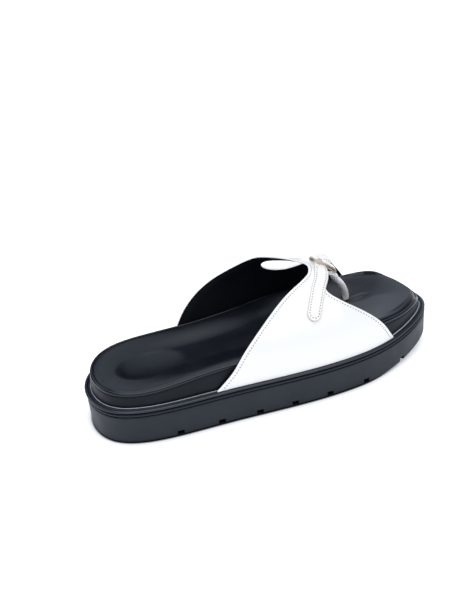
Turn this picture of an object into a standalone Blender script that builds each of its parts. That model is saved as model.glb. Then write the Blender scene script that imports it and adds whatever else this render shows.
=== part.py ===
"""Toe-post slide sandal for the right foot: platform outsole, footbed, upper, toe post and bow.

+X runs from heel to toe, +Y to the medial side (the big toe's) and +Z up. The origin is on the
floor, under the middle of the sole. Sizes are in millimetres and are turned to metres when a
mesh is made.
"""
import math

import bmesh
import bpy
import numpy as np

MM = 0.001

# Driving sizes
LENGTH = 270.0
BALL_WIDTH = 100.0
GAP = 0.3
TOE_SPRING = 5.5
SPRING_START = 185.0
# The outsole's foot curves up further toward the toe; the curve fades out up the wall
ROCKER = {"start": 198.0, "rise": 5.0, "fades_at": 20.0}

# Platform outsole
SOLE_TOP = 26.3
LUG_GAP = {"width": 5.0, "depth": 18.0, "height": 4.0}
LUG_GAP_PLACES = (52.0, 82.0, 110.0, 136.5, 164.0, 195.0, 231.5)
STATIONS = 44

# Plan of the sole. Columns: place, share of length from the heel, share of ball width, medial +
SOLE_PLAN = (
    ("heel back", 0.000, 0.005),
    ("heel corner, lateral", 0.029, -0.266),
    ("heel, lateral", 0.130, -0.410),
    ("waist, lateral", 0.326, -0.460),
    ("ball, lateral", 0.569, -0.517),
    ("little toe", 0.777, -0.475),
    ("toe corner, lateral", 0.914, -0.321),
    ("toe front, lateral", 0.9945, -0.113),
    ("toe front, medial", 0.995, 0.148),
    ("toe corner, medial", 0.947, 0.357),
    ("big toe joint", 0.780, 0.468),
    ("ball, medial", 0.575, 0.487),
    ("waist, medial", 0.354, 0.388),
    ("heel, medial", 0.138, 0.433),
    ("heel corner, medial", 0.037, 0.292),
)

# Side of the platform, from the floor up: a wall, a fine groove, a narrow ridge, a groove and the
# bead. Columns: height, inset from the plan
SOLE_SIDE = (
    (0.0, 2.4),
    (0.8, 1.8),
    (20.4, 1.0),
    (20.9, 1.9),
    (21.5, 0.9),
    (23.1, 0.8),
    (23.8, 2.1),
    (24.4, 0.6),
    (25.2, 0.0),
    (25.8, 0.3),
    (SOLE_TOP, 1.4),
)

# Footbed
WALL_INSET = 4.4
COVER_FALL = 20.0
FOOTBED_ACROSS = 18

# Section of the footbed's edge, from the platform up. Columns: share of the lip height,
# millimetres over it, share of the cover rise, share of the lean, inset from the wall's foot
FOOTBED_PROFILE = (
    (0.0, 0.0, 0.0, 0.0, 0.0),
    (0.55, 0.0, 0.0, 0.4, 0.1),
    (1.0, -0.9, 0.0, 0.85, 0.2),
    (1.0, 0.0, 0.0, 1.0, 0.9),
    (1.0, -0.1, 0.1, 1.0, 1.7),
    (1.0, 0.0, 0.6, 1.0, 3.2),
    (1.0, 0.1, 1.0, 1.0, 5.8),
)

# Edge of the footbed. Columns: side (-1 lateral, 1 medial), distance from the heel, height of
# the lip over the platform, rise of the padded cover over the lip, lean of the wall at the lip
FOOTBED_EDGE = (
    (-1, 0.0, 11.6, 0.4, 0.9),
    (-1, 20.0, 10.8, 0.4, 0.9),
    (-1, 43.0, 11.8, 0.4, 1.1),
    (-1, 70.0, 14.6, 0.4, 1.8),
    (-1, 100.0, 15.9, 0.6, 2.8),
    (-1, 140.0, 15.8, 0.8, 3.2),
    (-1, 185.0, 15.0, 0.8, 3.2),
    (-1, 222.0, 13.2, 0.8, 2.2),
    (-1, 242.0, 10.2, 1.0, 1.0),
    (-1, 256.0, 8.6, 1.6, 0.7),
    (-1, 264.0, 6.4, 2.8, 0.7),
    (1, 270.0, 4.8, 4.0, 0.7),
    (1, 268.0, 6.2, 3.2, 0.7),
    (1, 264.0, 9.0, 2.4, 0.8),
    (1, 256.0, 12.9, 2.2, 0.9),
    (1, 246.0, 15.4, 2.3, 1.0),
    (1, 230.0, 16.4, 2.4, 1.1),
    (1, 186.0, 16.8, 2.4, 1.3),
    (1, 136.0, 16.0, 0.8, 1.3),
    (1, 100.0, 16.6, 0.8, 1.1),
    (1, 61.0, 14.8, 0.6, 0.9),
    (1, 30.0, 13.0, 0.4, 0.9),
)

# Foot side of the footbed along its middle. Columns: distance from the heel, height over the floor
FOOTBED_TOP = (
    (0.0, 37.8),
    (45.0, 37.2),
    (95.0, 38.4),
    (140.0, 39.4),
    (180.0, 38.6),
    (215.0, 37.0),
    (245.0, 36.6),
    (270.0, 36.0),
)
HEEL_CUP = {"x": 47.5, "y": -2.0, "half_length": 26.0, "half_width": 18.0, "depth": 2.6}
ARCH = {"x": 118.0, "length": 52.0, "start_y": 2.0, "end_y": 36.0, "rise": 3.2}
TOE_RIDGE = {"x": 221.0, "y": 8.5, "half_length": 12.5, "half_width": 4.0, "rise": 1.5}

# Upper
WALL = 2.0
UPPER_INSET = 1.9
UPPER_ROWS = 30
UPPER_COLUMNS = 12
BASE_BLEND = math.radians(35.0)
CROWN = {"x": 182.0, "y": 2.8, "height": 78.0, "rear_rise": 0.133, "rear_curve": -0.00013,
         "front_fall": 0.332, "rear_shift": 0.471}
LAST_EDGE = {"lateral": -49.7, "medial": 46.4}
# Power of the section's superellipse, behind and ahead of the change of section
ROUNDNESS = {"lateral": (2.0, 2.0), "medial": (2.92, 3.64)}
SECTION_CHANGE = (174.0, 206.0)
# How much faster than the crown line the last rises toward the leg on each side
SHOULDER_RISE = {"lateral": 0.0, "medial": 0.0074}

# Edges of the two flaps. Columns: angle up the last's section from the sole edge (0) to the
# crown (90), then the distance from the heel of the lateral rear, lateral front, medial rear
# and medial front edges
FLAP_EDGES = (
    (0.0, 81.0, 221.5, 78.5, 232.0),
    (10.0, 93.0, 217.0, 84.5, 230.4),
    (20.0, 102.0, 212.5, 96.5, 227.9),
    (30.0, 113.5, 206.0, 114.7, 223.5),
    (40.0, 127.0, 195.0, 133.3, 217.3),
    (50.0, 140.5, 181.5, 145.6, 211.4),
    (58.0, 151.5, 177.0, 152.7, 205.8),
    (66.0, 162.5, 180.5, 163.2, 199.6),
    (78.0, 173.5, 187.0, 176.2, 191.0),
    (90.0, 178.0, 189.0, 178.0, 189.0),
)
CUT_OUT = {"x": 175.4, "angle": 48.2, "half_length": 20.5, "half_width": 8.6, "turn": 3.6}

# Toe post: rolled leather, from its slot in the footbed to the underside of the upper.
# Columns: x, y, z, width across, thickness
POST_WIDTH = 5.2
TOE_POST = (
    (213.2, 13.3, 34.8, 5.2, 5.2),
    (213.2, 12.9, 41.0, 5.2, 5.2),
    (211.6, 11.9, 46.5, 5.2, 5.2),
    (208.4, 10.1, 52.6, 5.2, 5.0),
    (203.9, 7.8, 58.4, 5.2, 4.8),
    (200.6, 6.0, 62.4, 5.2, 4.4),
    (198.4, 4.6, 65.6, 5.2, 3.4),
    (193.8, 3.4, 68.7, 5.8, 2.4),
    (188.8, 2.9, 71.3, 7.0, 2.0),
    (183.4, 2.8, 73.95, 7.6, 2.0),
)
SLOT_CLEARANCE = 0.5

# Bow: one flat strap tied over the neck of the upper
STRAP_WIDTH = 10.2
STRAP_THICKNESS = 1.3
LOOP_WIDTH = 5.6
INNER_TAIL_WIDTH = 8.0
KNOT = {"x": 185.5, "y": 2.8, "z": 80.2, "size": (5.2, 7.0, 4.6)}
# Columns of each path: x, y, z from the middle of the knot
FRONT_LOOP = ((0.0, -0.6, 1.0), (3.5, -1.2, -0.2), (7.2, -1.2, -2.9), (11.2, -0.8, -6.3),
              (12.9, -0.4, -9.0), (12.8, -0.3, -10.3), (11.4, -0.3, -9.7), (9.0, -0.7, -7.5),
              (6.2, -1.2, -5.2), (3.2, -1.2, -2.3), (0.0, -0.6, -1.1))
REAR_LOOP = ((0.0, 0.0, 1.0), (-0.6, 2.2, 2.1), (-1.2, 4.6, 2.7), (-1.8, 6.6, 2.3),
             (-2.1, 7.3, 0.9), (-1.8, 6.3, -0.4), (-1.0, 3.8, -0.8), (0.0, 0.0, -0.8))
INNER_TAIL = ((0.4, 0.8, 0.8), (3.4, 3.0, 1.0), (6.8, 4.4, 0.0), (10.2, 4.6, -2.2),
              (13.0, 4.2, -5.2))
# The long tail lies on the lateral flap. Columns: distance from the heel, angle up the section
SIDE_TAIL = ((184.6, 86.0), (182.0, 78.0), (177.8, 68.5), (172.2, 59.5), (167.0, 50.5),
             (162.4, 42.5), (158.0, 34.5))
SIDE_TAIL_LIFT = 1.15
# Width directions: the front loop and the inner tail lean a little to the outer side
LOOP_BANK = (0.0, 0.95, 0.3)
TAIL_BANK = (0.0, 0.87, 0.45)


# ---------------------------------------------------------------- shared shapes

def cubic(knots, values, at, closed=False):
    """Cubic spline with a continuous second derivative; natural ends unless it is closed."""
    knots = np.asarray(knots, float)
    values = np.asarray(values, float)
    count = len(knots)
    last = count - 1
    step = np.diff(knots)
    matrix = np.zeros((count, count))
    right = np.zeros((count,) + values.shape[1:])
    slope = np.diff(values, axis=0) / step.reshape((-1,) + (1,) * (values.ndim - 1))
    for i in range(1, last):
        matrix[i, i - 1:i + 2] = step[i - 1], 2 * (step[i - 1] + step[i]), step[i]
        right[i] = 6 * (slope[i] - slope[i - 1])
    if closed:
        matrix[0, 0], matrix[0, last] = 1, -1
        matrix[last, 0] = 2 * step[0]
        matrix[last, 1] = step[0]
        matrix[last, last - 1] = step[-1]
        matrix[last, last] = 2 * step[-1]
        right[last] = 6 * (slope[0] - slope[-1])
    else:
        matrix[0, 0] = matrix[last, last] = 1
    bend = np.linalg.solve(matrix, right)
    at = np.asarray(at, float)
    i = np.clip(np.searchsorted(knots, at) - 1, 0, last - 1)
    shape = at.shape + (1,) * (values.ndim - 1)
    h = step[i].reshape(shape)
    a = ((knots[i + 1] - at).reshape(shape)) / h
    b = 1 - a
    return (a * values[i] + b * values[i + 1]
            + ((a ** 3 - a) * bend[i] + (b ** 3 - b) * bend[i + 1]) * h * h / 6)


def smooth_step(share):
    share = np.clip(share, 0.0, 1.0)
    return share * share * (3 - 2 * share)


def spring(x):
    """Height that the toe spring adds at distance x from the heel."""
    return TOE_SPRING * np.clip((x - SPRING_START) / (LENGTH - SPRING_START), 0, None) ** 2


def rocker(x, height):
    """Further lift of the outsole's foot near the toe, at a height up its side."""
    share = np.clip((x - ROCKER["start"]) / (LENGTH - ROCKER["start"]), 0, None)
    return ROCKER["rise"] * share ** 1.5 * max(1 - height / ROCKER["fades_at"], 0)


def straighter(x, height):
    """How much further out the platform's wall stands near the toe, where it is more upright."""
    fade = np.interp(height, (23.0, 24.0), (1.0, 0.0))
    return 0.7 * smooth_step((x - 200) / 60) * (1.85 - 0.045 * height) * fade


def plan_curve():
    """Dense plan of the sole from the heel, round the lateral side to the toe and back."""
    points = np.array([(row[1] * LENGTH, row[2] * BALL_WIDTH) for row in SOLE_PLAN])
    points = np.vstack([points, points[:1]])
    chord = np.linalg.norm(np.diff(points, axis=0), axis=1) ** 0.5
    knots = np.concatenate([[0], np.cumsum(chord)])
    curve = cubic(knots, points, np.linspace(0, knots[-1], 3001)[:-1], closed=True)
    curve = np.roll(curve, -int(curve[:, 0].argmin()), axis=0)
    curve[:, 0] -= curve[0, 0]
    return curve


BOX_FACES = ((0, 3, 2, 1), (4, 5, 6, 7), (0, 1, 5, 4), (1, 2, 6, 5), (2, 3, 7, 6), (3, 0, 4, 7))
PLAN = plan_curve()
TIP = int(PLAN[:, 0].argmax())
LATERAL = PLAN[:TIP + 1]
MEDIAL = np.vstack([PLAN[TIP:], PLAN[:1]])[::-1]
ORIGIN = np.append((PLAN.min(axis=0) + PLAN.max(axis=0)) / 2, 0.0)


def side_y(x, side):
    """Plan's y on one side, -1 lateral or 1 medial, at distance x from the heel."""
    edge = LATERAL if side < 0 else MEDIAL
    return np.interp(x, edge[:, 0], edge[:, 1])


def ring(inset):
    """Closed plan ring, inset from the plan. Point k and point -k share a station."""
    share = (1 - np.cos(np.linspace(0, math.pi, STATIONS + 1))) / 2
    x = share * PLAN[TIP, 0]
    lateral = np.column_stack([x, side_y(x, -1)])
    medial = np.column_stack([x, side_y(x, 1)])
    loop = np.vstack([lateral, medial[-2:0:-1]])
    along = np.roll(loop, -1, axis=0) - np.roll(loop, 1, axis=0)
    inward = np.column_stack([-along[:, 1], along[:, 0]])
    inward /= np.linalg.norm(inward, axis=1)[:, None]
    return loop + inward * np.reshape(inset, (-1, 1))


def lifted(loop, height):
    return np.column_stack([loop, np.broadcast_to(height, len(loop))])


def material(name, colour, roughness):
    made = bpy.data.materials.new(name)
    made.use_nodes = True
    shader = made.node_tree.nodes["Principled BSDF"]
    shader.inputs["Base Color"].default_value = (*colour, 1.0)
    shader.inputs["Roughness"].default_value = roughness
    shader.inputs["Metallic"].default_value = 0.0
    return made


def add_mesh(name, points, faces, finish, sharp=40.0):
    """Object in metres from points in millimetres, moved so that the origin is under mid sole."""
    points = np.asarray(points, float) - ORIGIN
    mesh = bpy.data.meshes.new(name)
    mesh.from_pydata((points * MM).tolist(), [], faces)
    mesh.materials.append(finish)
    edit = bmesh.new()
    edit.from_mesh(mesh)
    bmesh.ops.recalc_face_normals(edit, faces=edit.faces)
    edit.to_mesh(mesh)
    edit.free()
    mesh.shade_smooth()
    mesh.set_sharp_from_angle(angle=math.radians(sharp))
    made = bpy.data.objects.new(name, mesh)
    bpy.context.collection.objects.link(made)
    return made


def wall_faces(rings, count):
    """Quads between each ring of points and the next."""
    return [(r * count + i, r * count + (i + 1) % count,
             (r + 1) * count + (i + 1) % count, (r + 1) * count + i)
            for r in range(rings - 1) for i in range(count)]


def cap(points, faces, first, across, height):
    """Close the ring that starts at index first with rows of quads from side to side."""
    count = 2 * STATIONS
    rows = [[first]]
    for k in range(1, STATIONS):
        low, high = first + k, first + count - k
        row = [low]
        for j in range(1, across):
            place = points[low] + (points[high] - points[low]) * j / across
            row.append(len(points))
            points.append(np.array([place[0], place[1], height(place, k, j / across)]))
        rows.append(row + [high])
    rows.append([first + STATIONS])
    for near, far in zip(rows, rows[1:]):
        for j in range(across):
            corners = [near[min(j, len(near) - 1)], near[min(j + 1, len(near) - 1)],
                       far[min(j + 1, len(far) - 1)], far[min(j, len(far) - 1)]]
            faces.append(list(dict.fromkeys(corners)))


def hidden_cutter(cutter):
    cutter.hide_render = True
    cutter.display_type = "WIRE"


def cut(target, cutter, operation="DIFFERENCE"):
    change = target.modifiers.new("cut", "BOOLEAN")
    change.operation = operation
    change.solver = "EXACT"
    change.object = cutter


# ---------------------------------------------------------------- platform outsole

def make_outsole():
    finish = material("outsole_rubber", (0.012, 0.013, 0.016), 0.55)
    rings = []
    plan = ring(0.0)
    for height, inset in SOLE_SIDE:
        loop = ring(inset - straighter(plan[:, 0], height))
        rings.append(lifted(loop, height + spring(loop[:, 0]) + rocker(loop[:, 0], height)))
    points = [point for loop in rings for point in loop]
    count = 2 * STATIONS
    faces = wall_faces(len(rings), count)

    def floor(place, k, share):
        return float(spring(place[0]) + rocker(place[0], 0))

    def top(place, k, share):
        return SOLE_TOP + float(spring(place[0]))

    cap(points, faces, 0, 4, floor)
    cap(points, faces, (len(rings) - 1) * count, 4, top)
    sole = add_mesh("outsole", points, faces, finish)
    cut(sole, lug_cutter(finish))
    return sole


def lug_cutter(finish):
    """Boxes for the gaps between the lugs, square to the edge on both sides of the sole."""
    points, faces = [], []
    depth = LUG_GAP["depth"]
    for side in (-1, 1):
        for x in LUG_GAP_PLACES:
            spot = np.array([x, side_y(x, side)])
            along = np.array([2.0, side_y(x + 1, side) - side_y(x - 1, side)])
            along /= np.hypot(*along)
            inward = np.array([along[1], -along[0]]) * side
            first = len(points)
            lift = float(spring(x) + rocker(x, LUG_GAP["height"]))
            for z in (-4.0, LUG_GAP["height"] + lift):
                for a, b in ((-0.5, -8.0), (0.5, -8.0), (0.5, depth), (-0.5, depth)):
                    points.append((*(spot + along * a * LUG_GAP["width"] + inward * b), z))
            faces += [[first + i for i in face] for face in BOX_FACES]
    cutter = add_mesh("lug_gaps", points, faces, finish)
    hidden_cutter(cutter)
    return cutter


# ---------------------------------------------------------------- footbed

def edge_heights(loop):
    """Lip height, cover rise and lean for each point of a ring, from the table of the edge."""
    lateral = [row for row in FOOTBED_EDGE if row[0] < 0]
    medial = [row for row in FOOTBED_EDGE if row[0] > 0]
    stations = np.array([row[1] for row in lateral + medial] + [0.0])
    turn = len(lateral)
    run = np.concatenate([stations[:turn + 1], 2 * LENGTH - stations[turn + 1:]])
    values = np.array([row[2:] for row in lateral + medial] + [lateral[0][2:]])
    x = np.clip(loop[:, 0], 0, LENGTH)
    order = np.arange(len(loop))
    place = np.where(order <= STATIONS, x, 2 * LENGTH - x)
    place[0] = 0.0
    found = cubic(run, values, place, closed=True)
    return found[:, 0], found[:, 1], found[:, 2]


def foot_height(x, y):
    """Height of the footbed's foot side, away from its edge."""
    table = np.array(FOOTBED_TOP)
    height = float(cubic(table[:, 0], table[:, 1], x)) + float(spring(x))
    cup = math.hypot((x - HEEL_CUP["x"]) / HEEL_CUP["half_length"],
                     (y - HEEL_CUP["y"]) / HEEL_CUP["half_width"])
    inside = max(1 - cup ** 2, 0)
    height -= HEEL_CUP["depth"] * inside ** 2 / (inside + 0.08)
    inward = smooth_step((y - ARCH["start_y"]) / (ARCH["end_y"] - ARCH["start_y"]))
    height += ARCH["rise"] * float(inward) * math.exp(-((x - ARCH["x"]) / ARCH["length"]) ** 2)
    ridge = math.hypot((x - TOE_RIDGE["x"]) / TOE_RIDGE["half_length"],
                       (y - TOE_RIDGE["y"]) / TOE_RIDGE["half_width"])
    return height + TOE_RIDGE["rise"] * float(smooth_step(1 - ridge))


def make_footbed():
    finish = material("footbed_cover", (0.016, 0.017, 0.020), 0.5)
    base = SOLE_TOP + GAP
    plan = ring(0.0)
    lip, rise, lean = edge_heights(plan)
    rings = []
    for share, over, risen, leant, inset in FOOTBED_PROFILE:
        loop = ring(WALL_INSET + lean * leant + inset)
        rings.append(lifted(loop, base + lip * share + over + rise * risen + spring(plan[:, 0])))
    points = [point for loop in rings for point in loop]
    count = 2 * STATIONS
    faces = wall_faces(len(rings), count)
    crest = rings[-1]

    def top(place, k, share):
        distance = np.hypot(crest[:, 0] - place[0], crest[:, 1] - place[1])
        toward_toe = float(smooth_step((place[0] - 190.0) / 40.0))
        weight = np.exp(-(distance - distance.min()) / (4.0 + 10.0 * toward_toe))
        edge = float((crest[:, 2] * weight).sum() / weight.sum())
        fall = float(smooth_step(distance.min() / (COVER_FALL + 14.0 * toward_toe)))
        return edge + (foot_height(place[0], place[1]) - edge) * fall

    def floor(place, k, share):
        return base + float(spring(place[0]))

    cap(points, faces, 0, 4, floor)
    cap(points, faces, (len(rings) - 1) * count, FOOTBED_ACROSS, top)
    bed = add_mesh("footbed", points, faces, finish)
    first, second = np.array(TOE_POST[0][:3]), np.array(TOE_POST[1][:3])
    down = (first - second) / np.linalg.norm(first - second)
    ends = [first + down * SLOT_CLEARANCE, second + (second - first)]
    reach = [POST_WIDTH / 2 + SLOT_CLEARANCE] * 2
    hole = tube("post_slot", ends, reach, reach, (0.0, 1.0, 0.0), finish, sides=20)
    hidden_cutter(hole)
    cut(bed, hole)
    return bed


# ---------------------------------------------------------------- upper

def crown(x):
    """Highest line of the last: its y and z at distance x from the heel."""
    ahead = x - CROWN["x"]
    behind = np.clip(-ahead, 0, None)
    y = CROWN["y"] + CROWN["rear_shift"] * behind
    z = (CROWN["height"] + CROWN["rear_rise"] * behind + CROWN["rear_curve"] * behind ** 2
         - CROWN["front_fall"] * np.clip(ahead, 0, None))
    return y, z


def last_point(x, angle, side):
    """Point of the upper's outer face: the last's section at x, angle up it from the sole edge.

    A section is a quarter of a superellipse on each side of the crown. It starts on the sole
    edge and swells to the last's own width as it rises.
    """
    middle, top = crown(x)
    name = "lateral" if side < 0 else "medial"
    behind = max(CROWN["x"] - x, 0.0)
    top += SHOULDER_RISE[name] * behind ** 2 / (1 + behind / 40.0)
    foot = side_y(x, side) - side * UPPER_INSET
    swell = smooth_step(angle / BASE_BLEND)
    reach = (foot + (LAST_EDGE[name] - foot) * swell) - middle
    share = smooth_step((x - SECTION_CHANGE[0]) / (SECTION_CHANGE[1] - SECTION_CHANGE[0]))
    power = ROUNDNESS[name][0] + (ROUNDNESS[name][1] - ROUNDNESS[name][0]) * share
    across, up = max(math.cos(angle), 1e-6), max(math.sin(angle), 1e-6)
    radius = (across ** power + up ** power) ** (-1 / power)
    base = SOLE_TOP + GAP + float(spring(x))
    return np.array([x, middle + reach * radius * across, base + (top - base) * radius * up])


def flap_edges(angle, side):
    table = np.array(FLAP_EDGES)
    columns = table[:, 1:3] if side < 0 else table[:, 3:5]
    rear, front = cubic(table[:, 0], columns, math.degrees(angle))
    return float(rear), float(front)


def make_upper():
    finish = material("upper_leather", (0.86, 0.86, 0.87), 0.25)
    rows = []
    quarter = math.pi / 2
    for side, order in ((-1, range(UPPER_ROWS + 1)), (1, range(UPPER_ROWS - 1, -1, -1))):
        for i in order:
            angle = quarter * i / UPPER_ROWS
            rear, front = flap_edges(angle, side)
            stations = np.linspace(rear, front, UPPER_COLUMNS + 1)
            rows.append([last_point(x, angle, side) for x in stations])
    outer = np.array(rows)
    down_rows = np.gradient(outer, axis=0)
    along_rows = np.gradient(outer, axis=1)
    outward = np.cross(along_rows, down_rows)
    outward /= np.linalg.norm(outward, axis=2)[:, :, None]
    inner = outer - outward * WALL
    inner[0, :, 2] = outer[0, :, 2]
    inner[-1, :, 2] = outer[-1, :, 2]
    tall, wide = outer.shape[:2]
    points = np.vstack([outer.reshape(-1, 3), inner.reshape(-1, 3)])
    back = tall * wide

    def at(row, column):
        return row * wide + column

    faces = []
    for r in range(tall - 1):
        for c in range(wide - 1):
            face = [at(r, c), at(r, c + 1), at(r + 1, c + 1), at(r + 1, c)]
            faces.append(face)
            faces.append([back + i for i in reversed(face)])
    border = [at(0, c) for c in range(wide)] + [at(r, wide - 1) for r in range(1, tall)]
    border += [at(tall - 1, c) for c in range(wide - 2, -1, -1)]
    border += [at(r, 0) for r in range(tall - 2, 0, -1)]
    for here, there in zip(border, border[1:] + border[:1]):
        faces.append([here, there, back + there, back + here])
    upper = add_mesh("upper", points, faces, finish)
    cut(upper, cut_out_cutter(finish))
    return upper


def cut_out_cutter(finish):
    """Prism square to the medial flap, on the oval plan of the cut-out."""
    turn = math.radians(CUT_OUT["turn"])
    centre_angle = math.radians(CUT_OUT["angle"])
    middle = last_point(CUT_OUT["x"], centre_angle, 1)
    step = 0.02
    along = last_point(CUT_OUT["x"] + 1, centre_angle, 1) - middle
    up = (last_point(CUT_OUT["x"], centre_angle + step, 1)
          - last_point(CUT_OUT["x"], centre_angle - step, 1))
    along /= np.linalg.norm(along)
    up -= along * up.dot(along)
    up /= np.linalg.norm(up)
    outward = np.cross(up, along)
    count = 36
    points = []
    for depth in (-14.0, 16.0):
        for i in range(count):
            round_angle = 2 * math.pi * i / count
            a = CUT_OUT["half_length"] * math.cos(round_angle)
            b = CUT_OUT["half_width"] * math.sin(round_angle)
            a, b = a * math.cos(turn) - b * math.sin(turn), a * math.sin(turn) + b * math.cos(turn)
            points.append(middle + along * a + up * b + outward * depth)
    faces = wall_faces(2, count)
    faces += [list(range(count - 1, -1, -1)), list(range(count, 2 * count))]
    cutter = add_mesh("cut_out", points, faces, finish)
    hidden_cutter(cutter)
    return cutter


# ---------------------------------------------------------------- toe post and bow

def frames(path, width_direction):
    """Directions of the width and the thickness at each point of a path."""
    path = np.asarray(path, float)
    travel = np.gradient(path, axis=0)
    travel /= np.linalg.norm(travel, axis=1)[:, None]
    width = np.broadcast_to(np.asarray(width_direction, float), path.shape)
    width = width - travel * (width * travel).sum(axis=1)[:, None]
    width /= np.linalg.norm(width, axis=1)[:, None]
    return width, np.cross(travel, width)


def tube(name, path, half_widths, half_depths, width_direction, finish, sides=14, power=2.0):
    """Closed sweep of a superellipse section along a path."""
    path = np.asarray(path, float)
    width, depth = frames(path, width_direction)
    points = []
    for i, middle in enumerate(path):
        for j in range(sides):
            angle = 2 * math.pi * (j + 0.5) / sides
            across, up = math.cos(angle), math.sin(angle)
            radius = (abs(across) ** power + abs(up) ** power) ** (-1 / power)
            points.append(middle + width[i] * half_widths[i] * radius * across
                          + depth[i] * half_depths[i] * radius * up)
    faces = wall_faces(len(path), sides)
    last = (len(path) - 1) * sides
    faces += [list(range(sides - 1, -1, -1)), [last + j for j in range(sides)]]
    return add_mesh(name, points, faces, finish)


def smooth_path(points, count):
    points = np.asarray(points, float)
    run = np.concatenate([[0], np.cumsum(np.linalg.norm(np.diff(points[:, :3], axis=0), axis=1))])
    return cubic(run, points, np.linspace(0, run[-1], count))


def make_toe_post():
    finish = material("toe_post_leather", (0.62, 0.62, 0.63), 0.3)
    path = smooth_path(TOE_POST, 20)
    return tube("toe_post", path[:, :3], path[:, 3] / 2, path[:, 4] / 2, (0.0, 1.0, 0.0), finish)


def strap(name, path, width_direction, finish, width, round_tip):
    """Flat strap that starts inside the knot, narrow enough to hide in it; a free tip is rounded."""
    count = len(path)
    half = np.full(count, width / 2)
    half[:2] = width * 0.3
    run = np.concatenate([[0], np.cumsum(np.linalg.norm(np.diff(path, axis=0), axis=1))])
    if round_tip:
        inside = np.clip(1 - (run[-1] - run) / (width / 2), 0, 0.97)
        half = np.minimum(half, width / 2 * np.sqrt(1 - inside ** 2))
    else:
        half[-2:] = width * 0.3
    depth = np.full(count, STRAP_THICKNESS / 2)
    return tube(name, path, half, depth, width_direction, finish, sides=12, power=5.0)


def knot_path(offsets, count):
    middle = np.array([KNOT["x"], KNOT["y"], KNOT["z"]])
    return smooth_path(np.array(offsets) + middle, count)


def side_tail_path():
    """Path of the long tail over the lateral flap, and the direction of its width there."""
    rows = smooth_path(SIDE_TAIL, 30)
    path, width = [], []
    for x, degrees in rows:
        angle = math.radians(degrees)
        along = last_point(x + 1, angle, -1) - last_point(x - 1, angle, -1)
        up = last_point(x, angle + 0.02, -1) - last_point(x, angle - 0.02, -1)
        outward = np.cross(along, up)
        outward /= np.linalg.norm(outward)
        path.append(last_point(x, angle, -1) + outward * SIDE_TAIL_LIFT)
        width.append(outward)
    path = np.array(path)
    width = np.cross(np.array(width), np.gradient(path, axis=0))
    start = np.array([KNOT["x"], KNOT["y"], KNOT["z"]])
    lead = [start, start + (path[0] - start) * 0.5]
    return np.vstack([lead, path]), np.vstack([width[:1], width[:1], width])


def make_bow():
    finish = material("bow_leather", (0.86, 0.86, 0.87), 0.25)
    size = KNOT["size"]
    places = (1.0, 0.92, 0.6, 0.0, -0.6, -0.92, -1.0)
    share = np.array([0.5, 0.8, 0.97, 1.0, 0.97, 0.8, 0.5])
    middle = [(KNOT["x"] + size[0] / 2 * place, KNOT["y"], KNOT["z"]) for place in places]
    bow = tube("bow", middle, share * size[1] / 2, share * size[2] / 2, (0.0, 1.0, 0.0), finish,
               sides=16, power=2.6)
    tail, tail_width = side_tail_path()
    parts = (
        strap("front_loop", knot_path(FRONT_LOOP, 30), LOOP_BANK, finish, LOOP_WIDTH, False),
        strap("rear_loop", knot_path(REAR_LOOP, 24), (0.9, 0.42, 0.0), finish, LOOP_WIDTH * 0.9, False),
        strap("side_tail", tail, tail_width, finish, STRAP_WIDTH, True),
        strap("inner_tail", knot_path(INNER_TAIL, 16), TAIL_BANK, finish,
              INNER_TAIL_WIDTH, True),
    )
    for part in parts:
        hidden_cutter(part)
        cut(bow, part, "UNION")
    return bow


def main():
    for thing in list(bpy.data.objects):
        bpy.data.objects.remove(thing, do_unlink=True)
    make_outsole()
    make_footbed()
    make_upper()
    make_toe_post()
    make_bow()


main()
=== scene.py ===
# %% [markdown]
# # A toe-post slide sandal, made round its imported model
# The sandal is for the right foot. A moulded rubber platform carries a padded footbed. Two wide
# flaps of white leather rise from the edge of the platform and meet over the instep, where one
# strap is tied over them in a bow. A rolled leather post runs from there to a slot between the
# toes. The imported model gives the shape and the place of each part, so it is loaded first.
# Everything below is worked out in shoe millimetres: +X from heel to toe, +Y to the big toe's
# side, +Z up from the floor.

import math

import bmesh
import bpy
import numpy as np
from mathutils import Matrix


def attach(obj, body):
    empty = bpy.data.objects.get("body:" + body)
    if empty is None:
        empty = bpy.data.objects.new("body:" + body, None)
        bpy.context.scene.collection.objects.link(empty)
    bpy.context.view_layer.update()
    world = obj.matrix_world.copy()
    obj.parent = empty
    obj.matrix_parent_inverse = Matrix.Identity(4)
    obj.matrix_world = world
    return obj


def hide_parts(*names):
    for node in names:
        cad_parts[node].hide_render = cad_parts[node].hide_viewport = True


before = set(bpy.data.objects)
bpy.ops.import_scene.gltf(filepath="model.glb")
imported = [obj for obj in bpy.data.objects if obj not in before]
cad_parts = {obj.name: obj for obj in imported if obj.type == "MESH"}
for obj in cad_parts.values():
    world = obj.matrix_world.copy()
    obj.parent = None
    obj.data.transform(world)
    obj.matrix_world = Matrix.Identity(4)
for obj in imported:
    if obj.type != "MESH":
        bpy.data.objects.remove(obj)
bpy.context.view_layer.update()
print("packed parts:", ", ".join(sorted(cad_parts)))

# %% [markdown]
# ## Curves from a few real measurements
# A shoemaker draws the sole from a few widths taken along its length, and a spline through them
# gives the curve. Blender has curve objects for this, but a formula is easier to sample where it
# is needed: a cubic spline goes exactly through its points and bends without a kink.

# %% Splines and soft ramps
MM = 0.001


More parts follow.
